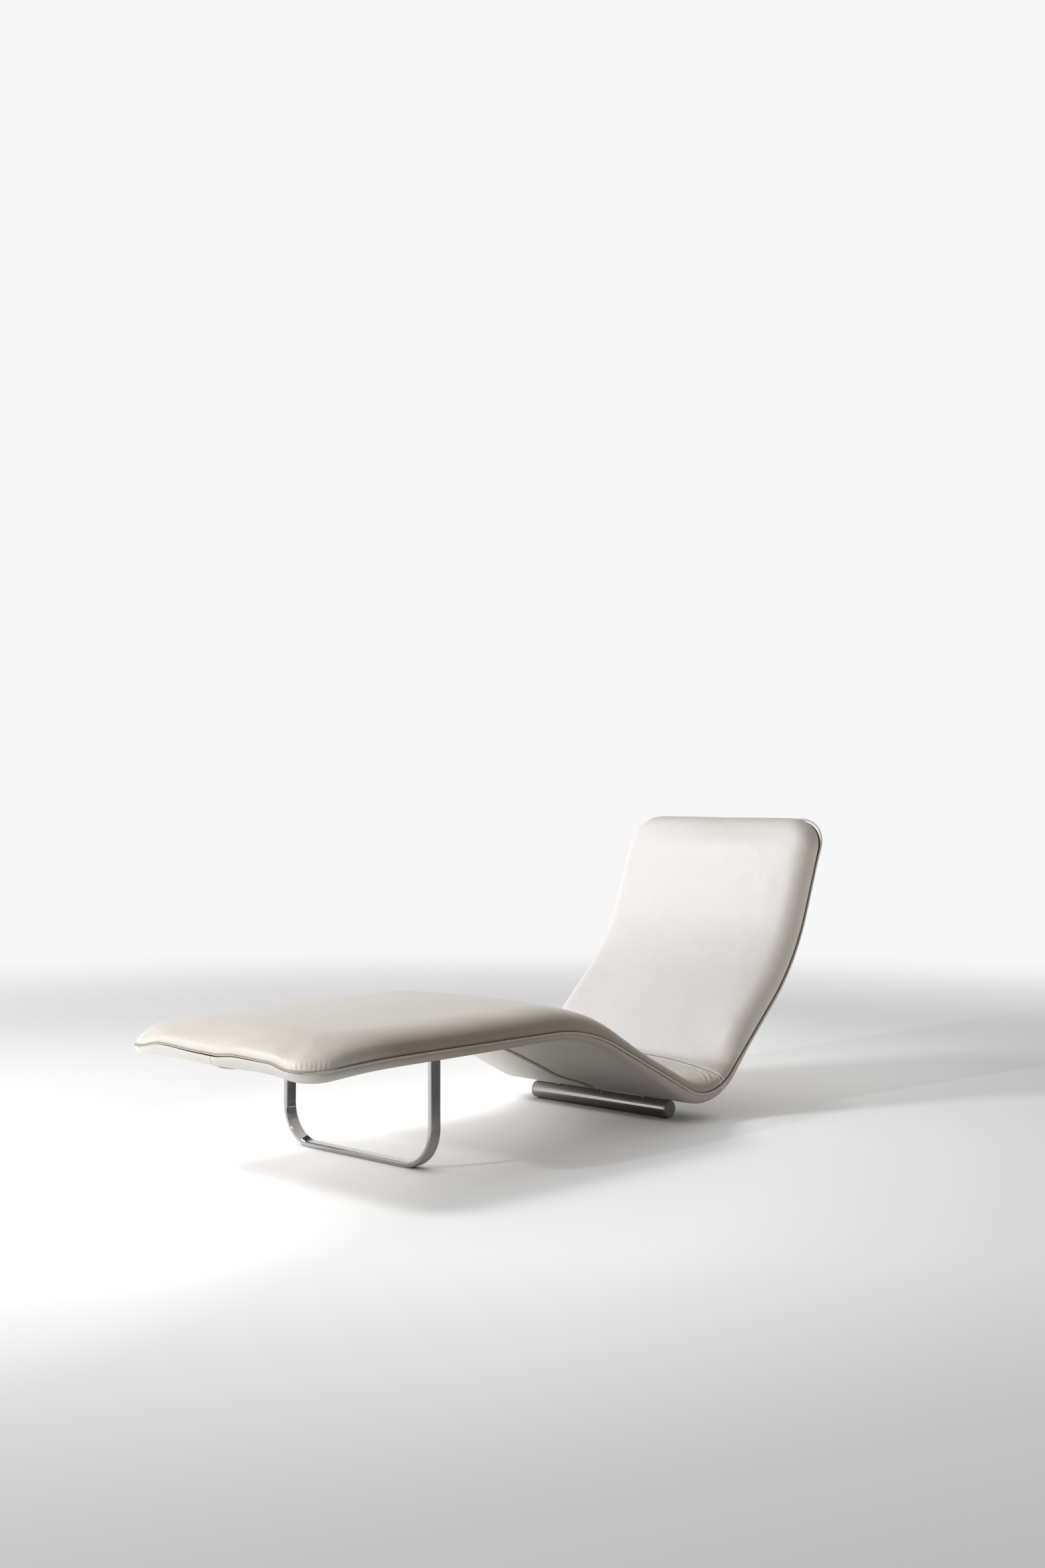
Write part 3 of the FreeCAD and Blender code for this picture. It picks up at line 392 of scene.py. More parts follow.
def gathers(s, x):
    """Folds that slant from the cross seam down into the seat's sides."""
    ahead = seam_at(x) - s
    if ahead < 0 or ahead > FOLD_REACH:
        return 0.0
    over = abs(x) * math.sin(FOLD_SLANT) - ahead * math.cos(FOLD_SLANT) + uneven(s, x, FOLD_WANDER)
    run = ease(ahead, FOLD_START, FOLD_RISE) * (1 - ease(ahead, FOLD_FULL, FOLD_FADE))
    side = ease(abs(x), FOLD_INNER, FOLD_SPREAD) * (FOLD_SHARE + uneven(s, x, FOLD_CHANGE))
    ridge = 0.5 + 0.5 * math.sin(2 * math.pi * over / FOLD_GAP)
    return (FOLD_NEAR if x > 0 else FOLD_FAR) * run * side * (ridge ** FOLD_CREST - FOLD_HOLLOW)


def cross_seam_relief(s, x):
    """Groove of the cross seam between its two top-stitched edges."""
    groove = seam_at(x) - s
    lips = LIP_HEIGHT * bump(abs(groove) - LIP_OFFSET, LIP_WIDTH)
    sunk = GROOVE_DEPTH * bump(groove, GROOVE_WIDTH) + VALLEY_DEPTH * bump(groove, VALLEY_WIDTH)
    return lips - sunk + puckers(SEAM_RIPPLE, x, s, x, abs(groove))


def upper_height(s, x):
    """Height of the upper cover over the seam."""
    distance = edge_distance(s, x)
    side_height, centre_height = blend(s, roll_marks), blend(s, centre_marks)
    height = side_height + (centre_height - side_height) * ease(distance, CENTRE_START, CENTRE_RUN)
    crown = blend(s, crown_marks) * (1 - (x / HALF_WIDTH) ** 2) * ease(distance, 0, CROWN_RUN)
    foot, head = end_distance(s, x)
    shape = rolled(plan_half(s) - abs(x), blend(s, side_roll_marks), SIDE_FULLNESS)
    shape *= rolled(foot, FOOT_ROLL, FOOT_FULLNESS) * rolled(head, HEAD_ROLL, HEAD_FULLNESS)
    inside = ease(distance, 0, INSIDE_RUN)
    n = seam_half(s) + (height - seam_half(s)) * shape + crown
    n += inside * sum(uneven(s, x, wave) for wave in UPPER_WAVES)
    n += (cross_seam_relief(s, x) + gathers(s, x)) * ease(distance, 0, RELIEF_RUN)
    at_corner = bump(s - CORNER_RIPPLE_PLACE, CORNER_RIPPLE_RUN)
    at_corner *= ease(abs(x), CORNER_RIPPLE_INNER, CORNER_RIPPLE_SPREAD)
    n += puckers(SIDE_RIPPLE, s, s, x, distance)
    n += puckers(CORNER_RIPPLE, s + abs(x), s, x, distance) * at_corner
    return n + (1 - inside) * droop(s, x) - inside * corner_sag(s, x)


def lower_depth(s, x):
    """Height, below the seam and so negative, of the lower covers."""
    distance = edge_distance(s, x)
    edge, keel = blend(s, edge_marks), blend(s, keel_marks)
    rise = (keel - edge) * max(0.0, 1 - abs(x) / (HALF_WIDTH - LOWER_ROLL))
    rise *= KEEL_END_SHARE + (1 - KEEL_END_SHARE) * ease(min(s, TOTAL - s), 0, KEEL_END_RUN)
    depth = seam_half(s) + (edge - seam_half(s)) * rolled(distance, LOWER_ROLL, blend(s, rim_marks)) + rise
    depth += uneven(s, x, LOWER_WAVE) * ease(distance, 0, LOWER_WAVE_RUN)
    under = ease(distance, 0, LOWER_ROLL)
    return -depth + (1 - under) * droop(s, x) - under * corner_sag(s, x)


# Meshes
def new_object(name, data):
    piece = bpy.data.objects.new(name, data)
    bpy.context.scene.collection.objects.link(piece)
    return piece


def mesh_object(name, points, faces, smooth_faces=True, weld=False):
    mesh = bpy.data.meshes.new(name)
    mesh.from_pydata(points, [], faces)
    mesh.validate()
    work = bmesh.new()
    work.from_mesh(mesh)
    if weld:
        bmesh.ops.remove_doubles(work, verts=work.verts, dist=NEARLY_ZERO)
    bmesh.ops.recalc_face_normals(work, faces=work.faces)
    work.to_mesh(mesh)
    work.free()
    for face in mesh.polygons:
        face.use_smooth = smooth_faces
    return new_object(name, mesh)


def keep_sharp(piece, degrees):
    piece.data.set_sharp_from_angle(angle=math.radians(degrees))


def store(piece, name, values):
    """Keep one number per vertex for the materials to read."""
    layer = piece.data.attributes.new(name, "FLOAT", "POINT")
    layer.data.foreach_set("value", values)


def grid_faces(rows, columns, first=0, flip=False):
    faces = []
    for i in range(rows - 1):
        for j in range(columns - 1):
            a = first + i * columns + j
            quad = (a, a + 1, a + columns + 1, a + columns)
            faces.append(quad[::-1] if flip else quad)
    return faces


def tube_faces(rings, ring, first=0):
    """Faces between equal rings of points in a row, with both ends closed."""
    faces = []
    for i in range(rings - 1):
        for k in range(ring):
            a, b = first + i * ring + k, first + i * ring + (k + 1) % ring
            faces.append((a, b, b + ring, a + ring))
    for start in (first, first + (rings - 1) * ring):
        faces.append(tuple(range(start, start + ring)))
    return faces


# Padded covers
def rim_patina_and_shade(s, x):
    """0 at the sides and the head to 1 inside; the foot has no rim. The rim is partly patina and partly
    painted shade: strongest on the leg's near side, which lies in shade, less on the back and least on the
    far side.
    """
    inside = min(1.0, max(0.0, min(HALF_WIDTH - abs(x), TOTAL - s)) / EDGE_TONE)
    share = RIM_NEAR + (RIM_BACK - RIM_NEAR) * ease(s, seat_bend.start, PALE_RUN)
    if x < 0:
        share = RIM_FAR + (share - RIM_FAR) * ease(x, -RIM_TURN, RIM_TURN)
    return 1 - (1 - inside) * share * ease(s, RIM_START, RIM_RISE)


def closed_pad(name, rows, columns, place, outer, inner, upper):
    """Closed form between two sheets over one grid of (s, x) places, with leather tones: painted seam shade,
    painted lip highlight, rim of patina and painted shade.
    """
    places = [place(i, j) for i in range(rows) for j in range(columns)]
    points = [outer(s, x) for s, x in places] + [inner(s, x) for s, x in places]
    count = rows * columns
    faces = grid_faces(rows, columns) + grid_faces(rows, columns, count, flip=True)
    border = list(range(columns)) + [(i + 1) * columns - 1 for i in range(1, rows)]
    border += [(rows - 1) * columns + j for j in range(columns - 2, -1, -1)]
    border += [i * columns for i in range(rows - 2, 0, -1)]
    faces += [(b, a, a + count, b + count) for a, b in zip(border, border[1:] + border[:1])]
    piece = mesh_object(name, points, faces)
    seam_share, line_share = (1.0, CROSS_LINE_TONE) if upper else (LOWER_SEAM_SHARE, 0.0)
    # Painted shade beside the seam and, on the upper covers, along the cross seam's groove
    seam_tones = []
    for point, (s, x) in zip(points, places):
        rise = (point - spot(s, x, droop(s, x))).length / MM
        beside_seam = seam_share * math.exp(-max(0.0, rise - SEAM_HALF) / SEAM_TONE)
        seam_tones.append(max(beside_seam, line_share * bump(seam_at(x) - s, CROSS_LINE_WIDTH)))
    store(piece, "seam", seam_tones * 2)
    store(piece, "edge", [rim_patina_and_shade(s, x) for s, x in places] * 2)
    store(piece, "pale", [ease(s, seat_bend.start, PALE_RUN) for s, x in places] * 2)
    # Painted highlight along the cross seam's two lips
    store(piece, "lip", [bump(abs(seam_at(x) - s) - LIP_OFFSET, LIP_TONE_WIDTH) for s, x in places] * 2)
    return piece


def run_places(first, last, step, rolled_first, rolled_last):
    """Places along the seam, closer together on a rolled end and near the cross seam."""
    places, s = [first], first
    while s < last:
        gap = min(step, max(SEAM_STEP, SEAM_GROWTH * abs(s - CROSS_SEAM)))
        if rolled_first:
            done = s - first
            gap = min(gap, max(ROLL_STEP, ROLL_GROWTH * done), max(FOOT_STEP, FOOT_GROWTH * done))
        if rolled_last:
            gap = min(gap, max(ROLL_STEP, ROLL_GROWTH * (last - s)))
        s = min(last, s + gap)
        places.append(s)
    if places[-1] - places[-2] < LEAST_STEP:
        places.pop(-2)
    return places


def half_shares(roll, roll_steps, step):
    """Shares of the half width from the side seam to the middle, crowded on the side roll."""
    distances = [roll * (k / roll_steps) ** 2 for k in range(roll_steps + 1)]
    count = round((HALF_WIDTH - roll) / step)
    distances += [roll + (HALF_WIDTH - roll) * k / count for k in range(1, count + 1)]
    return [1 - distance / HALF_WIDTH for distance in distances]


def seam_row(s, x):
    """Row place moved with the bow of the cross seam near it."""
    share = 1 - ease(abs(s - CROSS_SEAM), 0, SEAM_BLEND)
    return s + (seam_at(x) - CROSS_SEAM) * share


def upper_cover(name, first, last):
    places = run_places(first, last, UPPER_STEP, first == 0.0, last == TOTAL)
    half = half_shares(UPPER_ROLL, roll_steps=28, step=4.4)
    across = [-share for share in half] + half[-2::-1]

    def place(i, j):
        x = across[j] * plan_half(places[i])
        return seam_row(places[i], x), x

    def outer(s, x):
        seam = seam_half(s) + droop(s, x)
        return tucked(s, x, upper_height(s, x), seam, UPPER_TUCK, UPPER_TUCK_FADE)

    def inner(s, x):
        low = seam_half(s) - COVER_LAP + droop(s, x)
        level = low + COVER_LIFT * ease(edge_distance(s, x), 0, COVER_LIFT_RUN)
        return tucked(s, x, level, low, UPPER_TUCK + INNER_TUCK, 2 * UPPER_TUCK_FADE)

    return closed_pad(name, len(places), len(across), place, outer, inner, upper=True)


def lower_cover(name, sign):
    places = run_places(0.0, TOTAL, LOWER_STEP, True, True)
    shares = half_shares(LOWER_ROLL, roll_steps=12, step=7.5)[::-1]

    def place(i, j):
        return places[i], sign * shares[j] * plan_half(places[i])

    def sheet(s, x, inset):
        seam = droop(s, x) - seam_half(s)
        return tucked(s, x, lower_depth(s, x) + inset, seam, LOWER_TUCK, LOWER_TUCK_FADE)

    def outer(s, x):
        return sheet(s, x, 0.0)

    def inner(s, x):
        return sheet(s, x, LOWER_THICKNESS * ease(edge_distance(s, x), 0, LOWER_THICK_RUN))

    return closed_pad(name, len(places), len(shares), place, outer, inner, upper=False)


# Bent and turned metal
def swept_bar(name, path, turn_out):
    """Flat bar with eased edges along a path of (x, z) points, with the outward direction at each."""
    y = sum(corner[1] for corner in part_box("u_leg")) / 2
    flat_y, flat_t = BAR_WIDTH / 2 - BAR_EDGE, BAR_THICKNESS / 2 - BAR_EDGE
    section = []
    for corner_y, corner_t, first in ((flat_y, flat_t, 0), (-flat_y, flat_t, 90),
                                      (-flat_y, -flat_t, 180), (flat_y, -flat_t, 270)):
        for step in range(EDGE_STEPS + 1):
            angle = math.radians(first + 90 * step / EDGE_STEPS)
            section.append((corner_y + BAR_EDGE * math.cos(angle), corner_t + BAR_EDGE * math.sin(angle)))
    points = []
    for (path_x, path_z), (out_x, out_z) in zip(path, turn_out):
        points += [Vector(((path_x + t * out_x) * MM, y + w * MM, (path_z + t * out_z) * MM))
                   for w, t in section]
    return mesh_object(name, points, tube_faces(len(path), len(section)))


def bar_leg():
    low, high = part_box("u_leg")
    x = high[0] / MM - BAR_THICKNESS / 2
    top, base = high[2] / MM, low[2] / MM + BAR_THICKNESS / 2
    path, out = [(x, top)], [(1, 0)]
    for step in range(BEND_STEPS + 1):
        angle = math.radians(-90 * step / BEND_STEPS)
        across, up = math.cos(angle), math.sin(angle)
        path.append((x - BAR_BEND + BAR_BEND * across, base + BAR_BEND + BAR_BEND * up))
        out.append((across, up))
    path += [(-path_x, path_z) for path_x, path_z in reversed(path)]
    out += [(-out_x, out_z) for out_x, out_z in reversed(out)]
    piece = swept_bar("bar_leg", path, out)
    keep_sharp(piece, BAR_SHARP)
    return piece


def turned(name, outline, sharp_degrees):
    """Form turned about the cylinder's axis from a closed outline of (x, radius) points."""
    centre = Vector((0, AXIS_Y * MM, AXIS_Z * MM))
    ring = len(outline)
    points, faces = [], []
    for k in range(TURN_STEPS):
        angle = 2 * math.pi * k / TURN_STEPS
        points += [Vector((x, radius * math.cos(angle), radius * math.sin(angle))) * MM + centre
                   for x, radius in outline]
        here, following = k * ring, ((k + 1) % TURN_STEPS) * ring
        for j in range(ring):
            after = (j + 1) % ring
            faces.append((here + j, here + after, following + after, following + j))
    piece = mesh_object(name, points, faces, weld=True)
    keep_sharp(piece, sharp_degrees)
    return piece


def cylinder():
    outer, inner = CYLINDER_RADIUS, CYLINDER_RADIUS - TUBE_WALL
    half = [(TUBE_HALF - TUBE_EASE, outer), (TUBE_HALF, outer - TUBE_EASE), (TUBE_HALF, inner)]
    return turned("floor_cylinder", [(-x, radius) for x, radius in reversed(half)] + half, TUBE_SHARP)


def end_cap(name, sign):
    """Cap with a fine turned groove inside its rim."""
    back, radius = TUBE_HALF + CAP_GAP, CYLINDER_RADIUS
    face = back + CAP_THICKNESS
    outline = [(back, 0.0), (back, radius), (face - CAP_EASE, radius), (face, radius - CAP_EASE),
               (face, radius - CAP_GROOVE_OUTER), (face - CAP_GROOVE_DEPTH, radius - CAP_GROOVE_FLOOR),
               (face, radius - CAP_GROOVE_INNER), (face, 0.0)]
    return turned(name, [(sign * x, radius) for x, radius in outline], CAP_SHARP)


# Piping, stitches and the band underneath
def tube_along(name, points, radius, sides):
    """Round tube along points."""
    rings = []
    for before, point, after in zip(points[:1] + points, points, points[1:] + points[-1:]):
        ahead = (after - before).normalized()
        side = ahead.cross(Vector((0, 0, 1))).normalized()
        up = side.cross(ahead)
        for k in range(sides):
            angle = 2 * math.pi * k / sides
            rings.append(point + (side * math.cos(angle) + up * math.sin(angle)) * radius)
    return mesh_object(name, rings, tube_faces(len(points), sides))


def outline_half(sign):
    """Points (s, x) of the seam from the foot's middle round the near or far side to the head's middle."""
    reach = WELT_BULGE - WELT_RADIUS
    quarter = [math.radians(90 * k / CORNER_STEPS) for k in range(CORNER_STEPS + 1)]
    foot_x, head_x = HALF_WIDTH - FOOT_CORNER, HALF_WIDTH - HEAD_CORNER
    foot_arc, head_arc = FOOT_CORNER + reach, HEAD_CORNER + reach
    head_s = TOTAL - HEAD_CORNER
    places = [(-reach, foot_x * k / END_STEPS) for k in range(END_STEPS)]
    places += [(FOOT_CORNER - foot_arc * math.cos(turn), foot_x + foot_arc * math.sin(turn))
               for turn in quarter]
    places += [(FOOT_CORNER + (head_s - FOOT_CORNER) * k / SIDE_STEPS, HALF_WIDTH + reach)
               for k in range(1, SIDE_STEPS)]
    places += [(head_s + head_arc * math.cos(turn), head_x + head_arc * math.sin(turn))
               for turn in reversed(quarter)]
    places += [(TOTAL + reach, head_x * k / END_STEPS) for k in range(END_STEPS - 1, -1, -1)]
    return [(s, sign * x) for s, x in places]


def slack(s, x):
    """How far the piping stands off the near head corner, where it has come loose."""
    if x < 0:
        return 0.0
    corner = HEAD_CORNER * (1 - math.sqrt(0.5))
    return LOOSE_PIPING * bump(math.hypot(TOTAL - corner - s, HALF_WIDTH - corner - x), LOOSE_RUN)


def welt(name, sign):
    """Piping along one half of the seam, sunk on the foot's face."""
    points = []
    for s, x in outline_half(sign):
        off = slack(s, x) - FOOT_SEAM_SINK * (1 - open_seam(s))
        ahead, aside = inward(s, x)
        points.append(spot(s - off * ahead, x - off * aside, droop(s, x) + uneven(s, x, WELT_WAVE)))
    return tube_along(name, points, WELT_RADIUS * MM, WELT_SIDES)


# Rings of one stitch: share of its length, share of its radius, and drop in radii
STITCH_RINGS = ((-0.5, 0.45, 0.9), (-0.3, 1.0, 0.25), (0.0, 1.0, 0.0), (0.3, 1.0, 0.25), (0.5, 0.45, 0.9))


def stitch(centre, ahead, normal):
    """Points of one short thread that dips at both ends."""
    side = ahead.cross(normal).normalized()
    points = []
    for share, size, drop in STITCH_RINGS:
        here = centre + ahead * (share * STITCH_LENGTH) + normal * (STITCH_LIFT - drop * STITCH_RADIUS)
        for k in range(STITCH_SIDES):
            angle = 2 * math.pi * k / STITCH_SIDES
            points.append(here + (side * math.cos(angle) + normal * math.sin(angle)) * STITCH_RADIUS * size)
    return points


def stitch_line(offset):
    """Points and normals of the upper cover along a line beside the cross seam."""
    reach = HALF_WIDTH - STITCH_INSET
    line = []
    for k in range(2 * STITCH_STEPS + 1):
        x = reach * (k / STITCH_STEPS - 1)
        s = seam_at(x) + offset
        here = spot(s, x, upper_height(s, x))
        ahead = spot(s + PROBE, x, upper_height(s + PROBE, x)) - here
        aside = spot(s, x + PROBE, upper_height(s, x + PROBE)) - here
        line.append((here, aside.cross(ahead).normalized()))
    return line


def stitch_row(name, offset):
    """Row of stitches at an offset from the cross seam."""
    line = stitch_line(offset)
    points, faces = [], []
    travelled, due = 0.0, STITCH_PITCH / 2
    for (here, normal), (following, _) in zip(line, line[1:]):
        gap = (following - here).length
        ahead = (following - here).normalized()
        while travelled + gap >= due:
            faces += tube_faces(len(STITCH_RINGS), STITCH_SIDES, len(points))
            points += stitch(here + ahead * (due - travelled), ahead, normal)
            due += STITCH_PITCH
        travelled += gap
    return mesh_object(name, points, faces)


def seam_band():
    """Lapped band on the middle line of the underside, broken where the cylinder lies."""
    lean = math.radians(THIGH_SLOPE) - math.asin(SEAT_SETBACK / SEAT_REACH)
    contact = seat_bend.start + SEAT_RADIUS * lean
    gap = 2 * CYLINDER_RADIUS
    half = [(-BAND_HALF, BAND_ROOT), (-BAND_HALF, BAND_SIDE), (BAND_EASE - BAND_HALF, BAND_THICKNESS),
            (-BAND_RIDGE, BAND_THICKNESS)]
    section = half + [(0.0, BAND_THICKNESS + BAND_RIDGE_HEIGHT)] + [(-x, lift) for x, lift in reversed(half)]
    points, faces, tones = [], [], []
    for first, last in ((BAND_MARGIN, contact - gap), (contact + gap, TOTAL - BAND_MARGIN)):
        count = int((last - first) / BAND_STEP)
        faces += tube_faces(count + 1, len(section), len(points))
        for i in range(count + 1):
            s = first + (last - first) * i / count
            wide = 1 + BAND_FLARE * math.exp(-s / BAND_FLARE_RUN)
            proud = BAND_FLUSH + (1 - BAND_FLUSH) * ease(min(s, TOTAL - s), 0, BAND_RISE)
            points += [spot(s, x * wide, lower_depth(s, x * wide) - lift * proud) for x, lift in section]
            tones += [1 - ease(s, BAND_TONE_START, BAND_TONE_RUN)] * len(section)
    piece = mesh_object("under_band", points, faces, smooth_faces=False)
    store(piece, "edge", tones)
    return piece


leg_cover = upper_cover("leg_cover", 0.0, CROSS_SEAM)
back_cover = upper_cover("back_cover", CROSS_SEAM, TOTAL)
under_left = lower_cover("under_cover_left", -1)
under_right = lower_cover("under_cover_right", 1)
welt_left = welt("piping_left", -1)
welt_right = welt("piping_right", 1)
leg_stitches = stitch_row("stitches_leg", -STITCH_OFFSET)
back_stitches = stitch_row("stitches_back", STITCH_OFFSET)
band = seam_band()
leg_bar = bar_leg()
floor_cylinder = cylinder()
cap_left = end_cap("cap_left", -1)
cap_right = end_cap("cap_right", 1)


# Shader nodes
def tone(value):
    """Grey from one number; a colour or a socket stays as it is."""
    return (value, value, value, 1.0) if isinstance(value, (int, float)) else value


class Tree:
    """Short ways to add nodes to the tree of one material or world."""

    def __init__(self, owner):
        owner.use_nodes = True
        self.nodes, self.links = owner.node_tree.nodes, owner.node_tree.links

    def feed(self, node, inputs):
        """Link other nodes' outputs to a node's inputs, or set plain values there."""
        for name, value in inputs.items():
            if isinstance(value, bpy.types.NodeSocket):
                self.links.new(value, node.inputs[name])
            else:
                node.inputs[name].default_value = value

    def add(self, kind, inputs, **settings):
        """New node's outputs."""
        node = self.nodes.new("ShaderNode" + kind)
        for name, value in settings.items():
            setattr(node, name, value)
        self.feed(node, inputs)
        return node.outputs

    def rays(self):
        """Whether a ray left the camera, a mirror or glass."""
        path = self.add("LightPath", {})
        return path["Is Camera Ray"], path["Is Glossy Ray"], path["Is Transmission Ray"]

    def place(self, scale=(1, 1, 1)):
        vector = self.add("TexCoord", {})["Object"]
        return self.add("Mapping", {"Vector": vector, "Scale": scale})["Vector"]

    def attribute(self, name):
        return self.add("Attribute", {}, attribute_name=name)["Fac"]

    def math(self, operation, first, second):
        return self.add("Math", {0: first, 1: second}, operation=operation)[0]

    def dot(self, vector, direction):
        return self.add("VectorMath", {0: vector, 1: direction}, operation="DOT_PRODUCT")["Value"]

    def span(self, value, low, high, kind="LINEAR"):
        """Share, 0 to 1, of the way from low to high."""
        inputs = {"Value": value, "From Min": low, "From Max": high}
        return self.add("MapRange", inputs, interpolation_type=kind)["Result"]

    def noise(self, place, scale, detail, rough=0.5):
        inputs = {"Vector": place, "Scale": scale, "Detail": detail, "Roughness": rough}
        return self.add("TexNoise", inputs)["Fac"]

    def ramp(self, value, stops):
        node = self.nodes.new("ShaderNodeValToRGB")
        elements = node.color_ramp.elements
        for index in (0, -1):
            elements[index].position, elements[index].color = stops[index][0], tone(stops[index][1])
        for position, colour in stops[1:-1]:
            elements.new(position).color = tone(colour)
        self.feed(node, {"Fac": value})
        return node.outputs["Color"]

    def mix(self, factor, first, second, kind="MIX"):
        """Mixed colour; the node's colour sockets are inputs 6 and 7 and output 2."""
        inputs = {0: factor, 6: tone(first), 7: tone(second)}
        return self.add("Mix", inputs, data_type="RGBA", blend_type=kind)[2]

    def relief(self, height, strength, distance, **after):
        """Bumped normal, over another one where Normal is given."""
        inputs = {"Height": height, "Strength": strength, "Distance": distance}
        return self.add("Bump", {**inputs, **after})["Normal"]


def material(name):
    made = bpy.data.materials.new(name)
    tree = Tree(made)
    return made, tree, tree.nodes["Principled BSDF"]


# Materials
# Colours of the painted shade beside the seams and of the painted highlight on the cross seam's lips
SEAM_SHADE = (0.48, 0.43, 0.38, 1)
LIP_HIGHLIGHT = (0.90, 0.88, 0.85, 1)
FIBRES_PER_CLOUD = 14


def leather(name, centre, worn, deep, pale, roughness, pale_rim=None):
    """Satin leather: grain cells, soft creases, a warmer tone near the edges that is partly patina and
    partly painted shade, painted shade by the seams and painted highlight on the seam lips.
    """
    made, tree, shader = material(name)
    place = tree.place()
    cloud = tree.noise(place, scale=5.0, detail=4.0, rough=0.55)
    fine = tree.noise(place, scale=60.0, detail=5.0, rough=0.6)
    blotch = tree.ramp(cloud, [(0.3, 0.0), (0.72, 1.0)])
    # Darker, warmer rim where the edge tone is low: on the covers partly patina, partly painted shade
    rim = tree.ramp(tree.attribute("edge"), [(0.0, 1.0), (0.45, 0.45), (1.0, 0.0)])
    back = tree.attribute("pale")
    base = tree.mix(back, tree.mix(blotch, centre, worn), pale)
    colour = tree.mix(rim, base, tree.mix(back, deep, pale_rim or deep))
    # Painted highlight on the cross seam's lips
    colour = tree.mix(tree.attribute("lip"), colour, LIP_HIGHLIGHT)
    # Painted shade beside the seams and in the cross seam's groove
    seam_shade = tree.ramp(tree.attribute("seam"), [(0.15, 1.0), (0.9, SEAM_SHADE)])
    speck = tree.ramp(fine, [(0.35, 0.97), (0.65, 1.0)])
    cells = tree.add("TexVoronoi", {"Vector": place, "Scale": 520.0}, feature="DISTANCE_TO_EDGE")
    pores = tree.ramp(cells["Distance"], [(0.0, 0.0), (0.18, 1.0)])
    creases = tree.noise(place, scale=24.0, detail=6.0, rough=0.62)
    soft = tree.relief(creases, strength=0.07, distance=0.004)
    tree.feed(shader, {
        "Base Color": tree.mix(1.0, tree.mix(1.0, colour, seam_shade, "MULTIPLY"), speck, "MULTIPLY"),
        "Roughness": tree.ramp(fine, [(0.3, roughness - 0.05), (0.7, roughness + 0.07)]),
        "Normal": tree.relief(pores, strength=0.16, distance=0.0004, Normal=soft),
        "Specular IOR Level": 0.42, "Sheen Weight": 0.05, "Sheen Roughness": 0.5})
    return made


def metal(name, colour, least_rough, most_rough, streaks):
    """Polished or satin metal with faint wipe marks."""
    made, tree, shader = material(name)
    cloud = tree.noise(tree.place(), scale=14.0, detail=5.0, rough=0.6)
    streak = tree.noise(tree.place(streaks), scale=60.0, detail=3.0)
    darker = [0.95 * channel for channel in colour[:3]] + [1]
    tree.feed(shader, {
        "Metallic": 1.0,
        "Base Color": tree.ramp(cloud, [(0.3, darker), (0.7, colour)]),
        "Roughness": tree.ramp(tree.mix(0.5, cloud, streak), [(0.3, least_rough), (0.7, most_rough)]),
        "Normal": tree.relief(streak, strength=0.02, distance=0.0002)})
    return made


def painted(name, colour):
    """Black stove paint with a fine orange-peel surface."""
    made, tree, shader = material(name)
    place = tree.place()
    peel = tree.noise(place, scale=420.0, detail=2.0)
    cloud = tree.noise(place, scale=9.0, detail=4.0)
    lighter = [1.5 * channel for channel in colour[:3]] + [1]
    tree.feed(shader, {
        "Base Color": tree.ramp(cloud, [(0.3, colour), (0.75, lighter)]),
        "Roughness": tree.ramp(cloud, [(0.3, 0.38), (0.7, 0.5)]),
        "Normal": tree.relief(peel, strength=0.15, distance=0.0003)})
    return made


def fibrous(name, dark, light, scale, stretch, roughness):
    """Felt, webbing or thread: crossed fibres in two tones."""
    made, tree, shader = material(name)
    place = tree.place(stretch)
    fibre = tree.noise(place, scale, detail=6.0, rough=0.7)
    cloud = tree.noise(place, scale / FIBRES_PER_CLOUD, detail=3.0)
    tree.feed(shader, {
        "Base Color": tree.ramp(tree.mix(0.35, fibre, cloud), [(0.32, dark), (0.68, light)]),
        "Roughness": roughness,
        "Normal": tree.relief(fibre, strength=0.6, distance=0.0008),
        "Sheen Weight": 0.2})
    return made


# deep is the rim's colour, partly patina and partly painted shade, darkest on the leg's shaded near side;
# pale_rim is that rim on the back
upper_leather = leather("upper_leather", centre=(0.72, 0.682, 0.62, 1), worn=(0.70, 0.658, 0.59, 1),
                        deep=(0.47, 0.395, 0.30, 1), pale=(0.73, 0.72, 0.715, 1), roughness=0.36,
                        pale_rim=(0.70, 0.625, 0.535, 1))
lower_leather = leather("lower_leather", centre=(0.68, 0.655, 0.62, 1), worn=(0.63, 0.60, 0.56, 1),
                        deep=(0.60, 0.54, 0.47, 1), pale=(0.64, 0.59, 0.53, 1), roughness=0.46)
piping_leather = leather("piping_leather", centre=(0.70, 0.66, 0.60, 1), worn=(0.66, 0.62, 0.56, 1),
                         deep=(0.68, 0.64, 0.58, 1), pale=(0.70, 0.66, 0.60, 1), roughness=0.30)
band_leather = leather("band_leather", centre=(0.68, 0.655, 0.62, 1), worn=(0.63, 0.60, 0.56, 1),
                       deep=(0.45, 0.40, 0.34, 1), pale=(0.50, 0.46, 0.41, 1), roughness=0.42)
leg_chrome = metal("leg_chrome", (0.55, 0.54, 0.54, 1), 0.02, 0.07, streaks=(1, 1, 8))
tube_chrome = metal("tube_chrome", (0.58, 0.57, 0.57, 1), 0.02, 0.06, streaks=(0.4, 9, 9))
cap_steel = metal("cap_steel", (0.48, 0.48, 0.48, 1), 0.36, 0.5, streaks=(1, 1, 1))
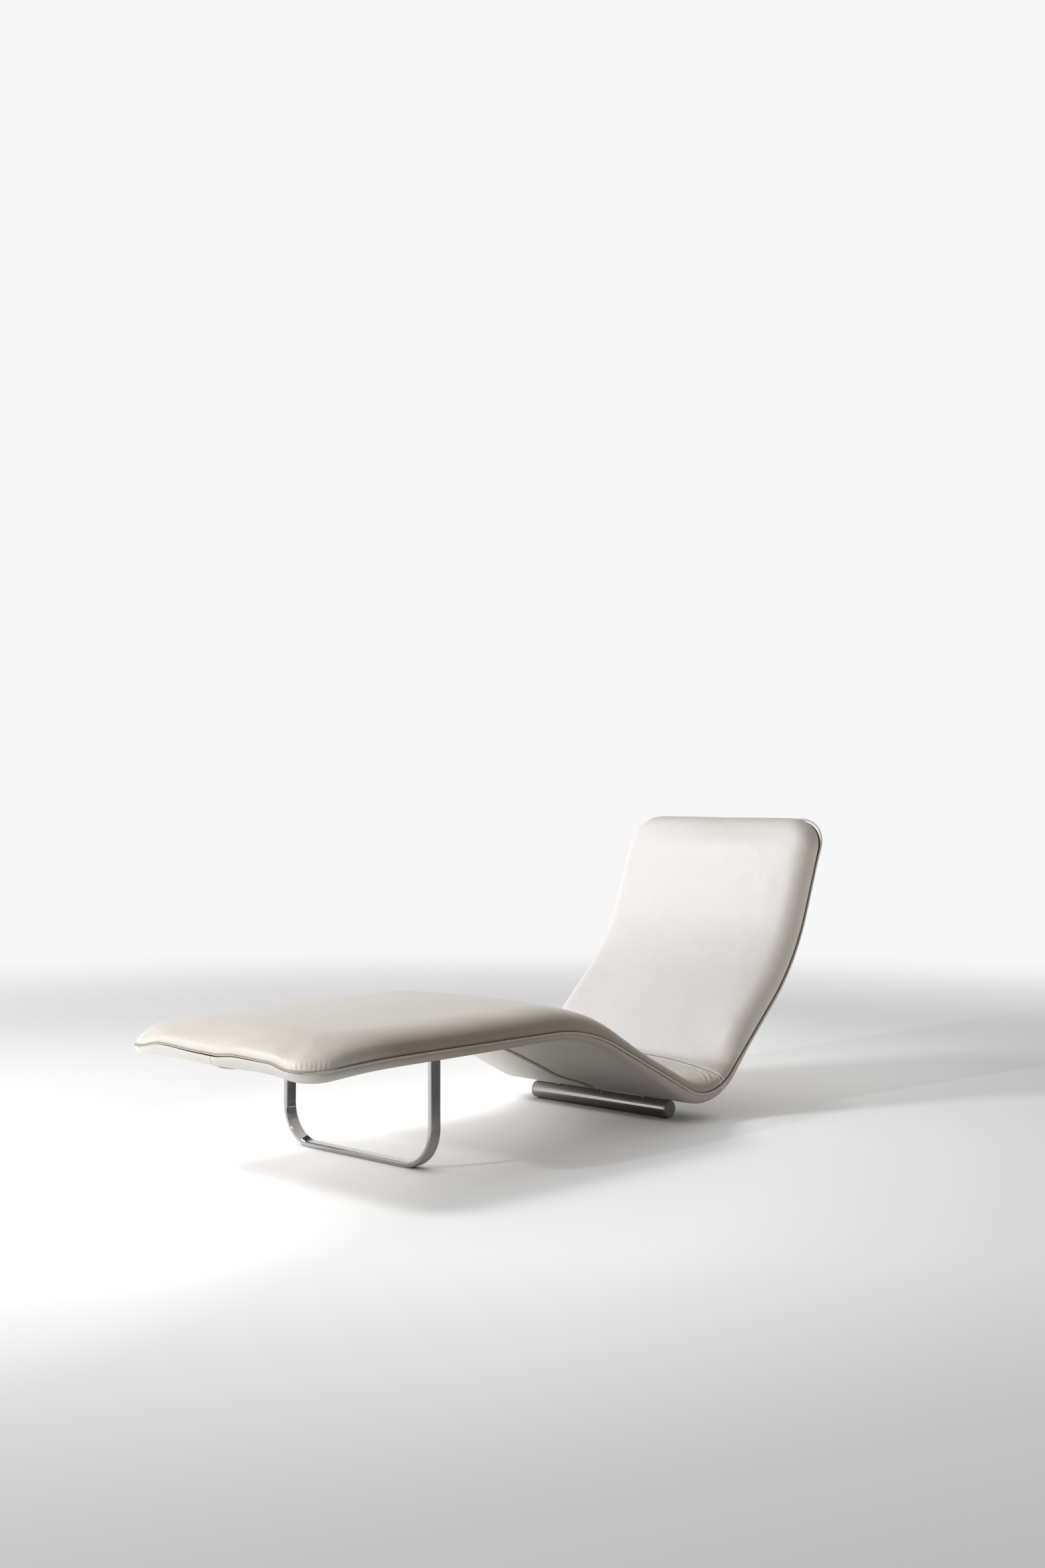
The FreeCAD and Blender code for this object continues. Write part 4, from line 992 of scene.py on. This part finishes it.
# Darker than bare zinc: painted shade on the spacers, which sit in shade under the seat
shaded_zinc = metal("shaded_zinc", (0.30, 0.30, 0.29, 1), 0.45, 0.6, streaks=(3, 3, 1))
frame_paint = painted("frame_paint", (0.02, 0.02, 0.02, 1))
felt = fibrous("felt", dark=(0.08, 0.05, 0.03, 1), light=(0.26, 0.17, 0.10, 1), scale=900.0,
               stretch=(0.5, 1, 1), roughness=0.95)
webbing = fibrous("webbing", dark=(0.10, 0.09, 0.08, 1), light=(0.30, 0.27, 0.23, 1), scale=700.0,
                  stretch=(0.3, 1.6, 1), roughness=0.9)
thread = fibrous("thread", dark=(0.62, 0.58, 0.52, 1), light=(0.80, 0.77, 0.71, 1), scale=1500.0,
                 stretch=(1, 1, 1), roughness=0.7)


def dress(piece, made, nodes=()):
    piece.data.materials.clear()
    piece.data.materials.append(made)
    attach(piece, "root")
    if nodes:
        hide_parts(*nodes)


dress(leg_cover, upper_leather, ("top_cover_leg", "foam_leg", "foam_seat"))
dress(back_cover, upper_leather, ("top_cover_back", "foam_back", "foam_head"))
dress(under_left, lower_leather, ("bottom_cover_left", "pad_back"))
dress(under_right, lower_leather, ("bottom_cover_right", "pad_leg", "pad_seat"))
dress(welt_left, piping_leather, ("welt_left",))
dress(welt_right, piping_leather, ("welt_right",))
dress(leg_stitches, thread)
dress(back_stitches, thread)
dress(band, band_leather, ("bottom_seam_band",))
dress(leg_bar, leg_chrome, ("u_leg",))
dress(floor_cylinder, tube_chrome, ("cylinder_tube",))
dress(cap_left, cap_steel, ("cylinder_cap_left",))
dress(cap_right, cap_steel, ("cylinder_cap_right",))

slot_materials = {"floor_felt": felt, "frame_steel": frame_paint, "webbing": webbing, "fastener_steel": shaded_zinc}
slots = {part["node"]: part["material_slot"] for part in frame["record"]["subparts"]}
for node, piece in frame["nodes"].items():
    made = slot_materials.get(slots.get(node))
    if made:
        piece.data.materials.clear()
        piece.data.materials.append(made)

# Studio floor: directions on it, distances along them or from the middle, and tones, with painted light and
# shade
WHITE = 0.93
FLOOR_HALF = 40.0
FLOOR_ROUGHNESS, FLOOR_SPECULAR = 0.9, 0.1
LEFT_WAY, LEFT_SPAN = (-0.73, -0.68, 0.0), (-0.7, 0.5)
# Painted shade on the floor's right, in the light it gives the object and in what the chrome mirrors
BOUNCE_TONES = [(0.0, (0.05, 0.042, 0.035, 1)), (1.0, 0.95)]
MIRROR_TONES = [(0.0, 0.20), (1.0, 0.95)]
FRONT_WAY, FRONT_SPAN = (0.68, -0.73, 0.0), (1.2, 2.8)
PAPER_TONES = [(0.0, 0.9), (1.0, 0.58)]
GLOW_WAY, GLOW_SPAN = (-1.0, 0.05, 0.0), (-3.5, 1.0)
GLOW_TONES = [(0.0, 0.5), (1.0, WHITE)]
GLOW_START, WHITE_START = (1.9, 4.8), (4.0, 8.0)
# Painted light that lifts the floor's shadows for the camera, held back near contacts as painted contact
# shade
LIT_WAY, LIT_SPAN = (-1.0, -0.35, 0.0), (-1.5, 1.0)
LIT_TONES = [(0.04, 0.04), (0.30, 0.14), (0.51, 0.13), (0.58, 0.24), (0.68, 0.30), (0.84, 0.16),
             (1.0, 0.06)]
LIT_FADE = (1.0, 2.6)
CONTACT_REACH = 0.06
CONTACT_TONES = [(0.5, 0.0), (0.97, 1.0)]
# Glow of the floor onto the object, painted bounce light
FAR_SIDE, FAR_RETURN = (-0.1, -0.6), 1.3
NEAR_SIDE, REAR_HALF, REAR_RETURN = (0.25, 0.6), (-0.3, 0.7), 1.3


def paper_colour(tree, place, direct, glossy):
    """Floor's colour: what the camera sees, darker towards the front, and what lights the object and what
    the chrome mirrors, both with painted shade towards the right.
    """
    left = tree.span(tree.dot(place, LEFT_WAY), *LEFT_SPAN, "SMOOTHSTEP")
    front = tree.span(tree.dot(place, FRONT_WAY), *FRONT_SPAN)
    paper = tree.mix(direct, tree.ramp(left, BOUNCE_TONES), tree.ramp(front, PAPER_TONES))
    return tree.mix(glossy, paper, tree.ramp(left, MIRROR_TONES))


def painted_floor_light(tree, place, distance):
    """Painted light added where the camera sees the floor near the object, lifting its shadows, with less of
    it where something stands on it, a painted contact shade.
    """
    lift = tree.ramp(tree.span(tree.dot(place, LIT_WAY), *LIT_SPAN), LIT_TONES)
    fading = tree.ramp(tree.span(distance, *LIT_FADE, "SMOOTHSTEP"), [(0.0, 1.0), (1.0, 0.0)])
    contact = tree.add("AmbientOcclusion", {"Distance": CONTACT_REACH})["AO"]
    open_floor = tree.ramp(contact, CONTACT_TONES)
    return tree.mix(1.0, tree.mix(1.0, lift, fading, "MULTIPLY"), open_floor, "MULTIPLY")


def painted_floor_bounce(tree, place, glossy):
    """Painted bounce light: glow that the floor gives the object on the far side and beside the rear half.
    """
    axes = tree.add("SeparateXYZ", {0: place})
    far = tree.ramp(tree.span(axes["X"], *FAR_SIDE), [(0.0, 0.0), (1.0, FAR_RETURN)])
    rear = tree.ramp(tree.span(axes["Y"], *REAR_HALF, "SMOOTHSTEP"), [(0.0, 0.0), (1.0, REAR_RETURN)])
    near = tree.ramp(tree.span(axes["X"], *NEAR_SIDE), [(0.0, 0.0), (1.0, 1.0)])
    both = tree.mix(1.0, far, tree.mix(1.0, rear, near, "MULTIPLY"), "ADD")
    return tree.mix(glossy, both, 0.0)


def floor_material():
    """Pale paper that takes the object's shadow, glows with painted light that lifts its shadows and lights
    the object, and runs into a white background.
    """
    made, tree, shader = material("studio_floor")
    camera_ray, glossy, through = tree.rays()
    direct = tree.math("MAXIMUM", camera_ray, through)
    place = tree.add("NewGeometry", {})["Position"]
    distance = tree.add("VectorMath", {0: place}, operation="LENGTH")["Value"]
    painted_bounce, lift = painted_floor_bounce(tree, place, glossy), painted_floor_light(tree, place, distance)
    tree.feed(shader, {
        "Base Color": paper_colour(tree, place, direct, glossy),
        "Roughness": FLOOR_ROUGHNESS, "Specular IOR Level": FLOOR_SPECULAR,
        "Emission Color": tree.mix(direct, painted_bounce, lift), "Emission Strength": 1.0})
    beside = tree.ramp(tree.span(tree.dot(place, GLOW_WAY), *GLOW_SPAN), GLOW_TONES)
    whiter = tree.span(distance, *WHITE_START, "SMOOTHSTEP")
    glow = tree.add("Emission", {"Color": tree.mix(whiter, beside, WHITE)})
    seen = tree.math("MAXIMUM", direct, glossy)
    glowing = tree.math("MULTIPLY", tree.span(distance, *GLOW_START, "SMOOTHSTEP"), seen)
    mixed = tree.add("MixShader", {0: glowing, 1: shader.outputs[0], 2: glow[0]})
    tree.feed(tree.nodes["Material Output"], {"Surface": mixed[0]})
    return made


floor_corners = [Vector((x, y, 0)) * FLOOR_HALF for x, y in ((-1, -1), (1, -1), (1, 1), (-1, 1))]
floor = mesh_object("studio_floor", floor_corners, [(0, 1, 2, 3)])
floor.data.materials.append(floor_material())

# Studio light: wide lobes as (direction, colour), the room that chrome mirrors, and the lamps
LOBES = [((-1, 0, 0), (1.0, 1.0, 1.0)), ((0, 0, 1), (0.30, 0.30, 0.30)),
         ((-0.45, 0.75, 0.48), (0.2, 0.2, 0.2)), ((1, 0, 0), (0.02, 0.015, 0.011))]
SOFTBOX_WAY = (-0.53, -0.55, 0.65)
SOFTBOX_TONES = [(0.78, 0.0), (0.95, 0.55)]
WALL_WAY = (-0.944, 0.33, 0.0)
WALL_TONES = [(0.0, 0.10), (0.4, 0.22), (0.65, 0.75), (1.0, 0.92)]
CEILING_TONES = [(0.30, 1.0), (0.52, 0.10), (1.0, 0.06)]
SOFT_PLACE, SOFT_SIZE, SOFT_POWER = (-1.97, -2.2, 2.87), 0.8, 66.0
LOW_PLACE, LOW_SIZE, LOW_POWER = (-0.93, -6.30, 2.45), 0.22, 114.0
LAMP_TARGET = Vector((0.0, 0.1, 0.3))


def fill_light(tree, direction):
    """Soft light of the studio, the sum of its lobes."""
    total = (0.0, 0.0, 0.0)
    for toward, colour in LOBES:
        facing = tree.math("MAXIMUM", tree.dot(direction, toward), 0.0)
        total = tree.add("VectorMath", {0: facing, 1: colour, 2: total}, operation="MULTIPLY_ADD")[0]
    return total


def studio_world():
    """White to the camera, soft light for the object and a room for the chrome to mirror."""
    world = bpy.data.worlds.new("studio")
    bpy.context.scene.world = world
    tree = Tree(world)
    camera_ray, glossy, through = tree.rays()
    direction = tree.add("TexCoord", {})["Generated"]
    shown = tree.mix(tree.math("MAXIMUM", camera_ray, through), fill_light(tree, direction), WHITE)
    walls = tree.ramp(tree.span(tree.dot(direction, WALL_WAY), -1.0, 1.0), WALL_TONES)
    ceiling = tree.ramp(tree.add("SeparateXYZ", {0: direction})["Z"], CEILING_TONES)
    softbox = tree.ramp(tree.dot(direction, SOFTBOX_WAY), SOFTBOX_TONES)
    room = tree.mix(1.0, tree.mix(1.0, walls, ceiling, "MULTIPLY"), softbox, "LIGHTEN")
    tree.feed(tree.nodes["Background"], {"Color": tree.mix(glossy, shown, room)})


def area_light(name, place, size, power):
    light = bpy.data.lights.new(name, "AREA")
    light.size = size
    light.energy = power
    lamp = new_object(name, light)
    lamp.location = place
    lamp.rotation_euler = (LAMP_TARGET - Vector(place)).to_track_quat("-Z", "Y").to_euler()


studio_world()
area_light("soft_key", SOFT_PLACE, SOFT_SIZE, SOFT_POWER)
area_light("low_key", LOW_PLACE, LOW_SIZE, LOW_POWER)

# Camera, solved from the photo's perspective
CAMERA_X, CAMERA_BEFORE_AXIS, CAMERA_HEIGHT = 2.967, 3.469, 0.820
CAMERA_TURN = 43.05
CAMERA_LENS, SENSOR_WIDTH, VIEW_END = 41.3, 36.0, 200

camera_data = bpy.data.cameras.new("camera")
camera_data.lens = CAMERA_LENS
camera_data.sensor_width = SENSOR_WIDTH
camera_data.clip_end = VIEW_END
camera = new_object("camera", camera_data)
camera.location = (CAMERA_X, AXIS_Y * MM - CAMERA_BEFORE_AXIS, CAMERA_HEIGHT)
camera.rotation_euler = (math.radians(90), 0, math.radians(CAMERA_TURN))
bpy.context.scene.camera = camera
bpy.context.scene.view_settings.view_transform = "Standard"
